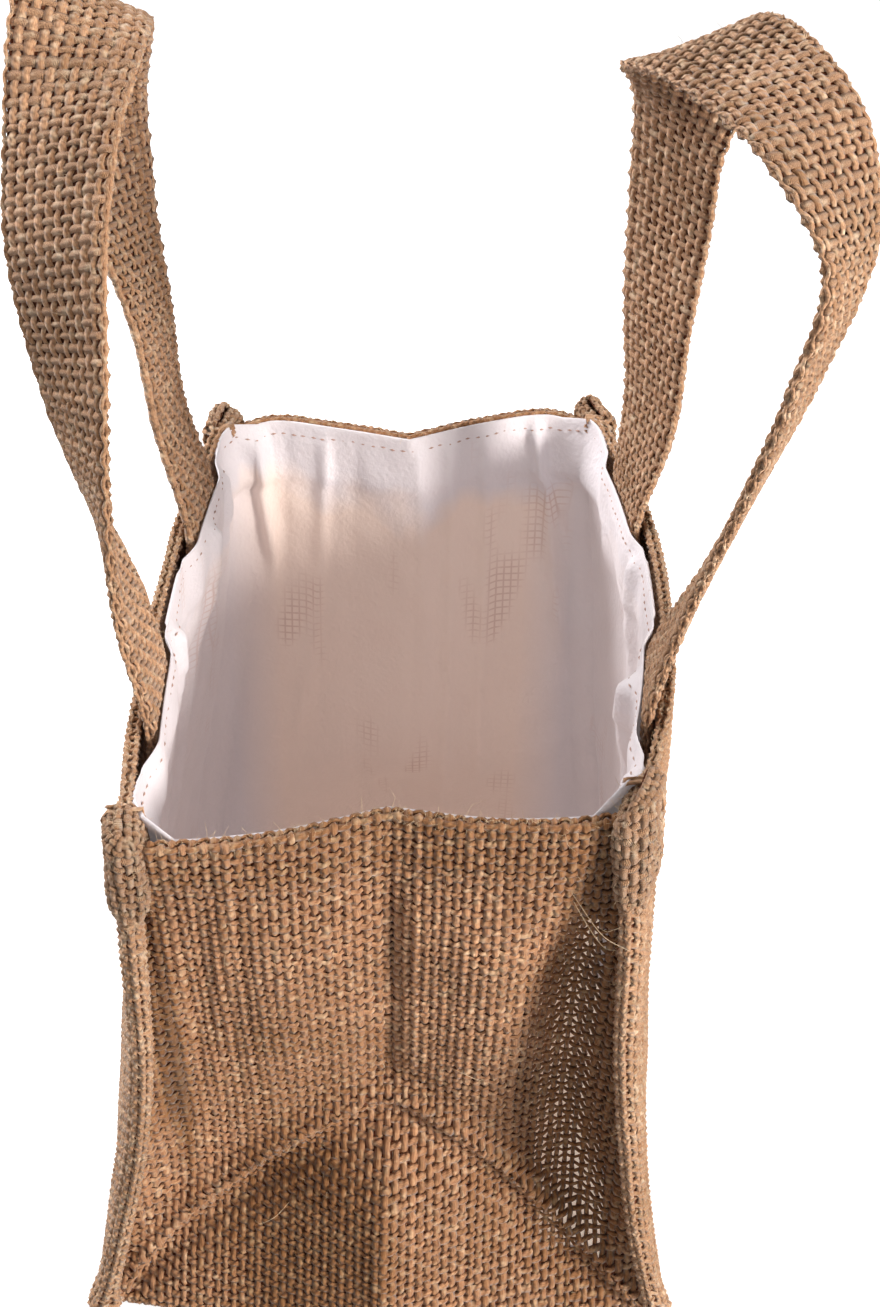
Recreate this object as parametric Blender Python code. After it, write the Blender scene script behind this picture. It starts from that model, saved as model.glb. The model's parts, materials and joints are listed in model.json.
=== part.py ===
"""Jute planter bag: a small open bag with a gusset at each end, a sewn-in lining and two strap handles.

X runs across the bag, Y along its two long walls from front to back, Z is up.
Sizes are in millimetres here and become metres when a mesh is made.
"""

import math
from collections import namedtuple

import bpy
from mathutils import Vector

MM = 0.001

# Driving dimensions
BAG_HEIGHT = 185.0
WALL_LENGTH = 192.0
SEAM_DEPTH = 9.0
CLOTH_THICKNESS = 1.4
HEM_THICKNESS = 2.8
HEM_DEPTH = 18.0
SEAM_THICKNESS = 5.5
CORNER_KNOT_THICKNESS = 9.4
LINING_THICKNESS = 1.0
STRAP_WIDTH = 31.0
STRAP_THICKNESS = 3.2
FOOT_DEPTH = 20.0
GAP = 0.4

# How the mouth is skewed: the left wall sits forward of the base and the right wall back of it.
MOUTH_SKEW = 5.0
# Shifts that put the middle of the whole bag, handles included, over the origin.
CENTRE_X = -7.14
CENTRE_Y = 3.85

HALF_WALL = WALL_LENGTH / 2
SEAM_PLANE = HALF_WALL - SEAM_DEPTH
# The folded seam edge laps this far behind the gusset, then thins to a single layer over the ramp.
SEAM_LAP = 3.0
SEAM_START = SEAM_PLANE - SEAM_LAP
SEAM_RAMP = 2.5
HEM_BOTTOM = BAG_HEIGHT - HEM_DEPTH
HEM_STEP = 3.0
RISE_START = 70.0
LEFT, RIGHT = -1, 1

# The long walls' middle surface, out from the centre line, at their corners and at mid-length.
WallRow = namedtuple(
    "WallRow", "height left_front left_middle left_back right_front right_middle right_back"
)
WALL_ROWS = (
    WallRow(0, 77, 74, 75, 80, 74, 77),
    WallRow(15, 73.5, 75, 73, 76, 75, 74.5),
    WallRow(45, 66.5, 76, 67, 69, 75.5, 69.5),
    WallRow(80, 59.5, 72.5, 60, 63.7, 74, 64.5),
    WallRow(115, 55.5, 66.5, 55, 59.7, 72.5, 60.5),
    WallRow(150, 54.5, 62, 52.5, 58, 72, 57.5),
    WallRow(185, 53.5, 59.5, 52, 55, 71, 55),
)
# How far each wall's front and back top corners stand above the rest of its rim.
CORNER_RISE = {LEFT: (3.0, 2.5), RIGHT: (7.0, 2.5)}

# The gussets' folds: how far each part of the cloth lies inside the seam plane. Negative stands proud.
FoldRow = namedtuple(
    "FoldRow", "height left_seam left_gap left_field centre right_field right_gap right_seam"
)
FRONT_FOLDS = (
    FoldRow(8, -6, -8, -13, -21, -13, -8, -6),
    FoldRow(20, -2, -2, -6, -14, -6, -1, -2),
    FoldRow(45, 0, 9, 8, -2, 7, 10, 0),
    FoldRow(69, 0, 11, 13, 17, 12, 13, 0),
    FoldRow(115, 0, 5, 3, 9, 3, 9, 0),
    FoldRow(150, 0, -2, -4, 3, -5, 1, 0),
    FoldRow(167, -2, -4, -4, 2, -4, -3, 0),
    FoldRow(185, -6, -6, -4, 2, -3, -4, -3),
)
BACK_FOLDS = (
    FoldRow(8, 0, 1, -7, -13, -6, 1, 0),
    FoldRow(20, 0, 4, -2, -8, -3, 4, 0),
    FoldRow(45, 0, 8, 7, 1, 6, 8, 0),
    FoldRow(69, 0, 9, 11, 16, 11, 9, 0),
    FoldRow(115, 0, 3, 5, 13, 5, 4, 0),
    FoldRow(150, 0, -3, 1, 9, 0, -2, 0),
    FoldRow(167, 0, -4, 0, 8, -1, -4, 0),
    FoldRow(185, 0, -5, 0, 8, -1, -5, 0),
)
# Where the fold columns lie across the gusset, from its left seam to its right seam.
FOLD_PLACES = (0.1, 0.28, 0.5, 0.72, 0.9)

# The handles' free length: its middle line, and how far its width is turned outward and tipped up,
# in degrees.
StrapRow = namedtuple("StrapRow", "out along above turn tip")
LEFT_STRAP = (
    StrapRow(60, -44, 28, 5, -7),
    StrapRow(65.5, -40, 54, 25, -15),
    StrapRow(69, -32.5, 80, 45, -19),
    StrapRow(71.5, -21, 104, 61, -19),
    StrapRow(71, -2.5, 124, 76, -15),
    StrapRow(69.5, 21.5, 140, 86, 20),
    StrapRow(73, 44, 133, 99, 20),
    StrapRow(77, 55.5, 104, 126, -2),
    StrapRow(71, 51.5, 79, 157, 6),
    StrapRow(64.5, 45, 53.5, 171, 11),
    StrapRow(61, 39.5, 28, 176, 9),
)
RIGHT_STRAP = (
    StrapRow(73, -36, 28, 18, -6),
    StrapRow(82, -36, 55, 21, -8),
    StrapRow(90.5, -34.5, 82, 25, -13),
    StrapRow(96, -31, 109, 32, -9),
    StrapRow(87, -18.5, 130, 52, 5),
    StrapRow(74, 4, 138, 65, 17),
    StrapRow(67, 28.5, 132, 82, 18),
    StrapRow(67.5, 44.5, 111, 135, 0),
    StrapRow(68, 49.5, 84, 143, -3),
    StrapRow(67.5, 49.5, 56, 151, 1),
    StrapRow(68, 48, 28, 160, 3),
)
LEFT_FEET = (-46.0, 36.0)
RIGHT_FEET = (-37.0, 47.0)

COLLECTION_NAME = "jute_planter_bag"


def lerp(a, b, t):
    return a + (b - a) * t


def ramp(value, start, end):
    """0 at start, 1 at end, straight between and level outside."""
    return min(max((value - start) / (end - start), 0.0), 1.0)


def spline(knots, values, at):
    """A smooth curve through the values at their knots."""
    if at <= knots[0]:
        return values[0]
    if at >= knots[-1]:
        return values[-1]
    i = max(k for k in range(len(knots) - 1) if knots[k] <= at)

    def slope(k):
        a, b = max(k - 1, 0), min(k + 1, len(knots) - 1)
        return (values[b] - values[a]) / (knots[b] - knots[a])

    span = knots[i + 1] - knots[i]
    t = (at - knots[i]) / span
    start, end = values[i], values[i + 1]
    return (
        (2 * t**3 - 3 * t**2 + 1) * start
        + (t**3 - 2 * t**2 + t) * span * slope(i)
        + (3 * t**2 - 2 * t**3) * end
        + (t**3 - t**2) * span * slope(i + 1)
    )


def column(rows, name, height):
    return spline([r.height for r in rows], [getattr(r, name) for r in rows], height)


# Long walls


def wall_shift(side, height):
    """How far a wall is skewed along Y at this height."""
    return side * MOUTH_SKEW * height / BAG_HEIGHT


def wall_out(side, along, height):
    """The wall's middle surface, out from the centre line."""
    name = "left" if side == LEFT else "right"
    corner = column(WALL_ROWS, name + ("_front" if along < 0 else "_back"), height)
    middle = column(WALL_ROWS, name + "_middle", height)
    return corner + (middle - corner) * (1 - min(abs(along) / HALF_WALL, 1) ** 2.2)


def wall_half_thickness(along, height):
    """Half the wall's thickness: one layer in the field, two at the hem, folded layers at the seams."""
    end = ramp(abs(along), SEAM_START - SEAM_RAMP, SEAM_START)
    foot = 1 - ramp(height, SEAM_DEPTH, SEAM_DEPTH + SEAM_RAMP)
    hem = ramp(height, HEM_BOTTOM - HEM_STEP, HEM_BOTTOM)
    field = lerp(CLOTH_THICKNESS, HEM_THICKNESS, hem)
    seam = lerp(SEAM_THICKNESS, CORNER_KNOT_THICKNESS, hem * end)
    thickness = lerp(field, seam, max(end, foot))
    edge = ramp(abs(along), HALF_WALL - 2, HALF_WALL)
    return thickness * (1 - 0.3 * edge) / 2


def wall_inner(side, along, height):
    """X of the wall's inner face."""
    return side * (wall_out(side, along, height) - wall_half_thickness(along, height))


def corner_rise(side, along, height):
    """How far a point of the hem is raised towards the wall's top corners."""
    front, back = CORNER_RISE[side]
    end = ramp(abs(along), RISE_START, SEAM_PLANE)
    return (front if along < 0 else back) * end * end * (3 - 2 * end) * ramp(height, HEM_BOTTOM, BAG_HEIGHT)


def wall_point(side, along, height, inset):
    """A point that lies inset from the wall's middle surface, along X."""
    out = wall_out(side, along, height) - inset
    return Vector((side * out, along + wall_shift(side, height), height + corner_rise(side, along, height)))


# Gussets and base


def gusset_point(end, across, height, inset=0.0):
    """A point on the middle surface of a gusset; end is -1 at the front and 1 at the back."""
    rows = FRONT_FOLDS if end < 0 else BACK_FOLDS
    left_knots = (0.0, *FOLD_PLACES[:3])
    right_knots = (*FOLD_PLACES[2:], 1.0)
    names = FoldRow._fields[1:]
    if across <= FOLD_PLACES[2]:
        inward = spline(left_knots, [column(rows, n, height) for n in names[:4]], across)
    else:
        inward = spline(right_knots, [column(rows, n, height) for n in names[3:]], across)
    left = wall_inner(LEFT, SEAM_PLANE, height) + GAP
    right = wall_inner(RIGHT, SEAM_PLANE, height) - GAP
    skew = lerp(wall_shift(LEFT, height), wall_shift(RIGHT, height), across)
    return Vector((lerp(left, right, across), end * (SEAM_PLANE - inward - inset) + skew, height))


def strip_rows():
    """The gusset strip's middle surface, row by row, from the front rim under the base to the back rim."""
    count = 17
    places = [i / (count - 1) for i in range(count)]
    heights = (185, 176, 167, 164, 157, 150, 139, 127, 115, 103, 92, 80, 69, 61, 53, 45, 36, 28, 20, 13, 8)
    turn = ((3.4, 2.4), (CLOTH_THICKNESS / 2, 8.0))
    base_height = CLOTH_THICKNESS / 2

    def wall_rows(end):
        rows = [[gusset_point(end, a, h) for a in places] for h in heights]
        for height, inset in turn:
            lower = [gusset_point(end, a, heights[-1], inset) for a in places]
            rows.append([Vector((p.x, p.y, height)) for p in lower])
        return rows

    front, back = wall_rows(-1), wall_rows(1)
    base = []
    for k in range(1, 10):
        base.append([f.lerp(b, k / 10) for f, b in zip(front[-1], back[-1])])
    for row in base:
        for point in row:
            point.z = base_height
    return front + base + back[::-1]


# Meshes


def grid_normals(rows, wrap=False):
    """Unit normals at the points of a grid of rows."""
    normals = []
    last = len(rows) - 1
    for i, row in enumerate(rows):
        before, after = rows[max(i - 1, 0)], rows[min(i + 1, last)]
        count = len(row)
        line = []
        for j in range(count):
            k, m = (j + 1, j - 1) if wrap else (min(j + 1, count - 1), max(j - 1, 0))
            across = row[k % count] - row[m % count]
            along = after[j] - before[j]
            line.append(along.cross(across).normalized())
        normals.append(line)
    return normals


def make_object(name, vertices, faces, material):
    mesh = bpy.data.meshes.new(name)
    mesh.from_pydata([v * MM for v in vertices], [], faces)
    mesh.validate()
    mesh.shade_smooth()
    mesh.set_sharp_from_angle(angle=math.radians(50))
    mesh.materials.append(material)
    part = bpy.data.objects.new(name, mesh)
    bpy.data.collections[COLLECTION_NAME].objects.link(part)
    part.location = (CENTRE_X * MM, CENTRE_Y * MM, 0)
    return part


def sheet_between(front_rows, back_rows):
    """One closed skin over two matching grids: both faces and the four edges."""
    count, width = len(front_rows), len(front_rows[0])
    vertices = [p for row in front_rows for p in row] + [p for row in back_rows for p in row]
    half = count * width

    def front(i, j):
        return i * width + j

    def back(i, j):
        return half + i * width + j

    faces = []
    for i in range(count - 1):
        for j in range(width - 1):
            faces.append((front(i, j), front(i, j + 1), front(i + 1, j + 1), front(i + 1, j)))
            faces.append((back(i, j), back(i + 1, j), back(i + 1, j + 1), back(i, j + 1)))
    for i in range(count - 1):
        faces.append((front(i, 0), front(i + 1, 0), back(i + 1, 0), back(i, 0)))
        j = width - 1
        faces.append((front(i, j), back(i, j), back(i + 1, j), front(i + 1, j)))
    for j in range(width - 1):
        faces.append((front(0, j), back(0, j), back(0, j + 1), front(0, j + 1)))
        i = count - 1
        faces.append((front(i, j), front(i, j + 1), back(i, j + 1), back(i, j)))
    return vertices, faces


def add_wall(name, side, material):
    """A long wall with its hem and the folded seam that runs down, along and up its other three edges."""
    ramp_start = SEAM_START - SEAM_RAMP
    ends = [ramp_start, SEAM_START, HALF_WALL - 2, HALF_WALL]
    field = [lerp(-ramp_start, ramp_start, k / 14) for k in range(1, 14)]
    places = [-e for e in reversed(ends)] + field + ends
    heights = [0, SEAM_DEPTH, SEAM_DEPTH + SEAM_RAMP, 24, 40, 56, 72, 88, 104, 120, 136, 152]
    heights += [HEM_BOTTOM - HEM_STEP, HEM_BOTTOM, 176, BAG_HEIGHT]
    outer, inner = [], []
    for height in heights:
        half = [wall_half_thickness(s, height) for s in places]
        outer.append([wall_point(side, s, height, -h) for s, h in zip(places, half)])
        inner.append([wall_point(side, s, height, h) for s, h in zip(places, half)])
    pair = (outer, inner) if side == RIGHT else (inner, outer)
    return make_object(name, *sheet_between(*pair), material)


def add_gusset_strip(name, material):
    """Front gusset, base and back gusset in one length of cloth, butted to the walls' inner faces."""
    rows = strip_rows()
    normals = grid_normals(rows)
    last = len(rows[0]) - 1
    skins = ([], [])
    for row, row_normals in zip(rows, normals):
        for skin, way in zip(skins, (-1, 1)):
            line = []
            for j, (point, normal) in enumerate(zip(row, row_normals)):
                hem = ramp(point.z, HEM_BOTTOM - HEM_STEP, HEM_BOTTOM)
                half = lerp(CLOTH_THICKNESS, HEM_THICKNESS, hem) / 2
                placed = point + normal * half * way
                placed.z = min(max(placed.z, 0.0), BAG_HEIGHT)
                if j in (0, last):
                    side = LEFT if j == 0 else RIGHT
                    along = placed.y - wall_shift(side, placed.z)
                    placed.x = wall_inner(side, along, placed.z) - side * GAP
                line.append(placed)
            skin.append(line)
    return make_object(name, *sheet_between(*skins), material)


def lining_inset(side, along, height):
    """How far inside the wall's middle surface the lining hangs; it passes inside the handles' feet."""
    near_seam = ramp(abs(along), 60, 78)
    plain = lerp(2.8, wall_half_thickness(SEAM_PLANE, height) + 1.3, near_seam)
    over_foot = (HEM_THICKNESS + LINING_THICKNESS) / 2 + STRAP_THICKNESS + 2.1
    feet = LEFT_FEET if side == LEFT else RIGHT_FEET
    centre = wall_shift(side, height)
    near = max(1 - ramp(abs(along + centre - f), 18, 27) for f in feet)
    level = ramp(height, BAG_HEIGHT - FOOT_DEPTH - 22, BAG_HEIGHT - FOOT_DEPTH - 3)
    blend = near * level
    return max(plain, lerp(plain, over_foot, blend * blend * (3 - 2 * blend)))


def lining_ring(height, inset=0.0):
    """One level of the lining, round the bag from the front of the left wall."""
    per_wall, per_gusset = 13, 10
    corner, clear, round_off = 0.05, 3.4, 4.0
    ring = []
    for side, first in ((LEFT, -1), (RIGHT, 1)):
        across = corner if side == LEFT else 1 - corner
        ends = {e: gusset_point(e, across, height, clear).y - wall_shift(side, height) for e in (-1, 1)}
        start, stop = ends[first] - first * round_off, ends[-first] + first * round_off
        for k in range(per_wall):
            along = lerp(start, stop, k / (per_wall - 1))
            ring.append(wall_point(side, along, height, lining_inset(side, along, height)))
        span = (corner, 1 - corner) if side == LEFT else (1 - corner, corner)
        for k in range(per_gusset + 1):
            ring.append(gusset_point(-first, lerp(*span, k / per_gusset), height, clear))
    if not inset:
        return ring
    count = len(ring)
    moved = []
    for k, point in enumerate(ring):
        edge = ring[(k + 1) % count] - ring[k - 1]
        inward = Vector((edge.y, -edge.x, 0)).normalized()
        moved.append(point + inward * inset)
    return moved


def add_lining(name, material):
    """The lining: a loose bag a little inside the jute, open at its top."""
    top = BAG_HEIGHT - 1
    rows = [lining_ring(h) for h in (top, 176, 167, 158, 146, 132, 115, 98, 82, 69, 57, 45, 32, 20, 13)]
    floor_height = CLOTH_THICKNESS + 1.4
    for height, inset in ((7.0, 2.0), (3.6, 5.5), (floor_height, 11.0)):
        rows.append([Vector((p.x, p.y, height)) for p in lining_ring(8, inset)])
    centre = Vector((0, 0, floor_height))
    floor_rim = rows[-1]
    for share in (0.7, 0.35):
        rows.append([centre.lerp(p, share) for p in floor_rim])
    half = LINING_THICKNESS / 2
    outer, inner = [], []
    for row, row_normals in zip(rows, grid_normals(rows, wrap=True)):
        level = row[0].z == floor_height
        for skin, way in ((outer, -1), (inner, 1)):
            line = [p + (Vector((0, 0, 1)) if level else n) * half * way for p, n in zip(row, row_normals)]
            if row is rows[0]:
                for p in line:
                    p.z = top
            skin.append(line)
    around, levels = len(rows[0]), len(rows)
    vertices = [p for skin in (outer, inner) for row in skin for p in row]
    vertices += [centre - Vector((0, 0, half)), centre + Vector((0, 0, half))]
    inner_start, outer_hub, inner_hub = around * levels, 2 * around * levels, 2 * around * levels + 1
    faces = []
    for j in range(around):
        k = (j + 1) % around
        for i in range(levels - 1):
            a, b, c, d = i * around + j, i * around + k, (i + 1) * around + k, (i + 1) * around + j
            faces.append((a, b, c, d))
            faces.append((inner_start + a, inner_start + d, inner_start + c, inner_start + b))
        faces.append((k, j, inner_start + j, inner_start + k))
        low_j, low_k = (levels - 1) * around + j, (levels - 1) * around + k
        faces.append((low_j, low_k, outer_hub))
        faces.append((inner_start + low_k, inner_start + low_j, inner_hub))
    return make_object(name, vertices, faces, material)


def strap_stations(side, rows, feet):
    """The strap's middle line and width directions, from one tucked foot over the top to the other."""
    inset = HEM_THICKNESS / 2 + STRAP_THICKNESS / 2 + 1.0
    knots, points = [], []
    for k, foot in enumerate(feet):
        tucked = []
        for depth in (FOOT_DEPTH, FOOT_DEPTH / 2, -2.0):
            height = min(BAG_HEIGHT - depth, BAG_HEIGHT)
            along = foot - wall_shift(side, height)
            place = wall_point(side, along, height, inset)
            slope = wall_out(side, along + 1, height) - wall_out(side, along - 1, height)
            lean = math.degrees(math.atan(slope / 2))
            turn = lean if k == 0 else 180 + lean
            tucked.append((side * place.x, place.y, -depth, turn, 0.0))
        points += tucked if k == 0 else tucked[::-1]
        if k == 0:
            points += [tuple(r) for r in rows]
    for a, b in zip(points, points[1:]):
        knots.append(math.dist(a[:3], b[:3]))
    knots = [sum(knots[:k]) for k in range(len(points))]
    count = 44
    stations = []
    for k in range(count + 1):
        at = knots[-1] * k / count
        out, along, above, turn, tip = (spline(knots, [p[c] for p in points], at) for c in range(5))
        turn, tip = math.radians(turn), math.radians(tip)
        level = math.cos(tip)
        width = Vector((side * math.sin(turn) * level, math.cos(turn) * level, math.sin(tip)))
        stations.append((Vector((side * out, along, BAG_HEIGHT + above)), width))
    return stations


def add_strap(name, side, rows, feet, material):
    """A flat folded strap swept along its stations."""
    half_width, half = STRAP_WIDTH / 2, STRAP_THICKNESS / 2
    quarter = [(1.0, 0.5), (0.93, 1.0)]
    upper = quarter + [(-a, b) for a, b in reversed(quarter)]
    outline = upper + [(a, -b) for a, b in reversed(upper)]
    stations = strap_stations(side, rows, feet)
    rings = []
    for k, (point, width) in enumerate(stations):
        before, after = stations[max(k - 1, 0)][0], stations[min(k + 1, len(stations) - 1)][0]
        tangent = (after - before).normalized()
        width = (width - tangent * width.dot(tangent)).normalized()
        face = tangent.cross(width)
        rings.append([point + width * half_width * a + face * half * b for a, b in outline])
    count = len(outline)
    vertices = [p for ring in rings for p in ring]
    faces = [tuple(range(count))[::-1], tuple(range((len(rings) - 1) * count, len(rings) * count))]
    for i in range(len(rings) - 1):
        for j in range(count):
            k = (j + 1) % count
            faces.append((i * count + j, i * count + k, (i + 1) * count + k, (i + 1) * count + j))
    return make_object(name, vertices, faces, material)


def cloth_material(name, colour, roughness):
    material = bpy.data.materials.new(name)
    material.use_nodes = True
    surface = material.node_tree.nodes["Principled BSDF"]
    surface.inputs["Base Color"].default_value = (*colour, 1)
    surface.inputs["Roughness"].default_value = roughness
    surface.inputs["Metallic"].default_value = 0
    material.diffuse_color = (*colour, 1)
    return material


def main():
    for old in list(bpy.data.objects):
        bpy.data.objects.remove(old, do_unlink=True)
    collection = bpy.data.collections.new(COLLECTION_NAME)
    bpy.context.scene.collection.children.link(collection)
    jute = (0.40, 0.24, 0.12)
    webbing = (0.44, 0.27, 0.14)
    pale = (0.78, 0.72, 0.70)
    add_wall("wall_left", LEFT, cloth_material("jute_wall_left", jute, 0.95))
    add_wall("wall_right", RIGHT, cloth_material("jute_wall_right", jute, 0.95))
    add_gusset_strip("gusset_strip", cloth_material("jute_gusset", jute, 0.95))
    add_lining("lining", cloth_material("coated_lining", pale, 0.6))
    for name, side, rows, feet in (
        ("handle_left", LEFT, LEFT_STRAP, LEFT_FEET),
        ("handle_right", RIGHT, RIGHT_STRAP, RIGHT_FEET),
    ):
        add_strap(name, side, rows, feet, cloth_material("jute_" + name, webbing, 0.95))


main()
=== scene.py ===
"""Jute planter bag, finished: woven yarns, hems, turned seams, sewn-in lining and strap handles.

X runs across the bag, Y along its two long walls from front to back, Z is up. Sizes are in millimetres
unless a comment says metres, and become metres when a mesh is made. The tables of the cloth's stance
repeat those of the solids.
"""
import json
import math
from collections import namedtuple
from functools import partial

import bpy
import numpy as np
from mathutils import Matrix, Vector

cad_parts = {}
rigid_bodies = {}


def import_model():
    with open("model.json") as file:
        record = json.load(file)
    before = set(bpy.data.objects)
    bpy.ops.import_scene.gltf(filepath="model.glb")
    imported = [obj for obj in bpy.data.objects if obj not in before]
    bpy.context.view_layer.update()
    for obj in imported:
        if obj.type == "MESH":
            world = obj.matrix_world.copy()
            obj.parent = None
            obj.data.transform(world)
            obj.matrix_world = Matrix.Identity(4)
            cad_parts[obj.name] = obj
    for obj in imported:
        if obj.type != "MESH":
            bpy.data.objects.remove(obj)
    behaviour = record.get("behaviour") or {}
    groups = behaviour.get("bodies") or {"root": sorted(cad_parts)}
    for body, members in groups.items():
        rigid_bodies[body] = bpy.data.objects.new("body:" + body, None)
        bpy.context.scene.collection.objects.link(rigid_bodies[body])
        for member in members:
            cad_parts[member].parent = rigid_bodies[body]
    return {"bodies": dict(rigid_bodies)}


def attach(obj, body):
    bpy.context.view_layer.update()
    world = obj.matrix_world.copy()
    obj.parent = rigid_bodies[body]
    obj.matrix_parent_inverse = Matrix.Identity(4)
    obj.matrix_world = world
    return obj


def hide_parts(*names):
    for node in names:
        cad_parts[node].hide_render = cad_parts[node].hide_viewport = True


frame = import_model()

MM = 0.001
BODY = next(iter(frame["bodies"]))
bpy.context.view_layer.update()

# Driving dimensions, as in the solids
BAG_HEIGHT = 185.0
WALL_LENGTH = 192.0
SEAM_DEPTH = 9.0
CLOTH_THICKNESS = 1.4
HEM_THICKNESS = 2.8
HEM_DEPTH = 18.0
SEAM_THICKNESS = 5.5
CORNER_KNOT_THICKNESS = 9.4
LINING_THICKNESS = 1.0
STRAP_WIDTH = 31.0
STRAP_THICKNESS = 3.2
FOOT_DEPTH = 20.0
GAP = 0.4
MOUTH_SKEW = 5.0
CENTRE = np.array((-7.14, 3.85, 0.0))

HALF_WALL = WALL_LENGTH / 2
SEAM_PLANE = HALF_WALL - SEAM_DEPTH
SEAM_LAP = 3.0
SEAM_START = SEAM_PLANE - SEAM_LAP
SEAM_RAMP = 2.5
HEM_BOTTOM = BAG_HEIGHT - HEM_DEPTH
HEM_STEP = 3.0
RISE_START = 70.0
LEFT, RIGHT = -1, 1
FRONT, BACK = -1, 1
SIDE_NAMES = {LEFT: "left", RIGHT: "right"}

# Yarn: sacking has about 11 yarns to the inch each way, each yarn 1.5 to 2 mm wide and flattened.
YARN_PITCH = 2.3
PICK_PITCH = 2.36
YARN_HEIGHT = 1.1
YARN_SWING = 0.45
# The UV map of each woven piece is cut into this many bands, one for each yarn.
UV_BANDS = 256

# The long walls' middle surface, out from the centre line, at their corners and at mid-length.
WallRow = namedtuple(
    "WallRow", "height left_front left_middle left_back right_front right_middle right_back"
)
WALL_ROWS = [WallRow(*row) for row in (
    (0, 77, 74, 75, 80, 74, 77),
    (15, 73.5, 75, 73, 76, 75, 74.5),
    (45, 66.5, 76, 67, 69, 75.5, 69.5),
    (80, 59.5, 72.5, 60, 63.7, 74, 64.5),
    (115, 55.5, 66.5, 55, 59.7, 72.5, 60.5),
    (150, 54.5, 62, 52.5, 58, 72, 57.5),
    (185, 53.5, 59.5, 52, 55, 71, 55),
)]
# How far each wall's front and back top corners stand above the rest of its rim.
CORNER_RISE = {LEFT: (3.0, 2.5), RIGHT: (7.0, 2.5)}

# The gussets' folds: how far each part of the cloth lies inside the seam plane. Negative stands proud.
FoldRow = namedtuple(
    "FoldRow", "height left_seam left_gap left_field centre right_field right_gap right_seam"
)
FRONT_FOLDS = [FoldRow(*row) for row in (
    (8, -6, -8, -13, -21, -13, -8, -6),
    (20, -2, -2, -6, -14, -6, -1, -2),
    (45, 0, 9, 8, -2, 7, 10, 0),
    (69, 0, 11, 13, 17, 12, 13, 0),
    (115, 0, 5, 3, 9, 3, 9, 0),
    (150, 0, -2, -4, 3, -5, 1, 0),
    (167, -2, -4, -4, 2, -4, -3, 0),
    (185, -6, -6, -4, 2, -3, -4, -3),
)]
BACK_FOLDS = [FoldRow(*row) for row in (
    (8, 0, 1, -7, -13, -6, 1, 0),
    (20, 0, 4, -2, -8, -3, 4, 0),
    (45, 0, 8, 7, 1, 6, 8, 0),
    (69, 0, 9, 11, 16, 11, 9, 0),
    (115, 0, 3, 5, 13, 5, 4, 0),
    (150, 0, -3, 1, 9, 0, -2, 0),
    (167, 0, -4, 0, 8, -1, -4, 0),
    (185, 0, -5, 0, 8, -1, -5, 0),
)]
# Where the fold columns lie across the gusset, from its left seam to its right seam.
FOLD_PLACES = (0.0, 0.1, 0.28, 0.5, 0.72, 0.9, 1.0)
# The lowest folds of the tables. Below them the cloth turns in under the base.
FOLD_FOOT = 8.0
# The clear width between the seams and the clear length between the gussets, about half way up
GUSSET_WIDTH = 125.0
INSIDE_LENGTH = 170.0

# How far the gusset's picks sag below level between the seams, which pull them up at both sides.
SAG_ROWS = [FoldRow(*row) for row in (
    (0, 0, 0, 0, 0, 0, 0, 0),
    (20, 0, -1, -2, -2, -1, 0, 0),
    (45, 0, -3, -6, -7, -5, -2, 0),
    (76, 0, -4, -9, -11, -8, -3, 0),
    (103, 0, -3, -6, -8, -6, -2, 0),
    (139, 0, -1, -2, -3, -2, -1, 0),
    (167, 0, 0, 0, 0, 0, 0, 0),
    (185, 0, 0, 0, 0, 0, 0, 0),
)]

# The handles' free length: its middle line, and how far its width is turned outward and tipped up,
# in degrees.
StrapRow = namedtuple("StrapRow", "out along above turn tip")
LEFT_STRAP = [StrapRow(*row) for row in (
    (60, -44, 28, 5, -7),
    (65.5, -40, 54, 25, -15),
    (69, -32.5, 80, 45, -19),
    (71.5, -21, 104, 61, -19),
    (71, -2.5, 124, 76, -15),
    (69.5, 21.5, 140, 86, 20),
    (73, 44, 133, 99, 20),
    (77, 55.5, 104, 126, -2),
    (71, 51.5, 79, 157, 6),
    (64.5, 45, 53.5, 171, 11),
    (61, 39.5, 28, 176, 9),
)]
RIGHT_STRAP = [StrapRow(*row) for row in (
    (73, -36, 28, 18, -6),
    (82, -36, 55, 21, -8),
    (90.5, -34.5, 82, 25, -13),
    (96, -31, 109, 32, -9),
    (87, -18.5, 130, 52, 5),
    (74, 4, 138, 65, 17),
    (67, 28.5, 132, 82, 18),
    (67.5, 44.5, 111, 135, 0),
    (68, 49.5, 84, 143, -3),
    (67.5, 49.5, 56, 151, 1),
    (68, 48, 28, 160, 3),
)]
# Where each handle's two feet stand along its wall
FEET = {LEFT: (-46.0, 36.0), RIGHT: (-37.0, 47.0)}


# Numbers and curves


def lerp(a, b, t):
    return a + (b - a) * t


def ramp(value, start, end):
    """0 at start, 1 at end, straight between and level outside."""
    return np.clip((value - start) / (end - start), 0.0, 1.0)


def smooth(value, start, end):
    """A ramp with soft ends."""
    t = ramp(value, start, end)
    return t * t * (3 - 2 * t)


def bump(distance, width):
    """1 on a line and falling softly to nothing about two widths away."""
    return np.exp(-((distance / width) ** 2))


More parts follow.
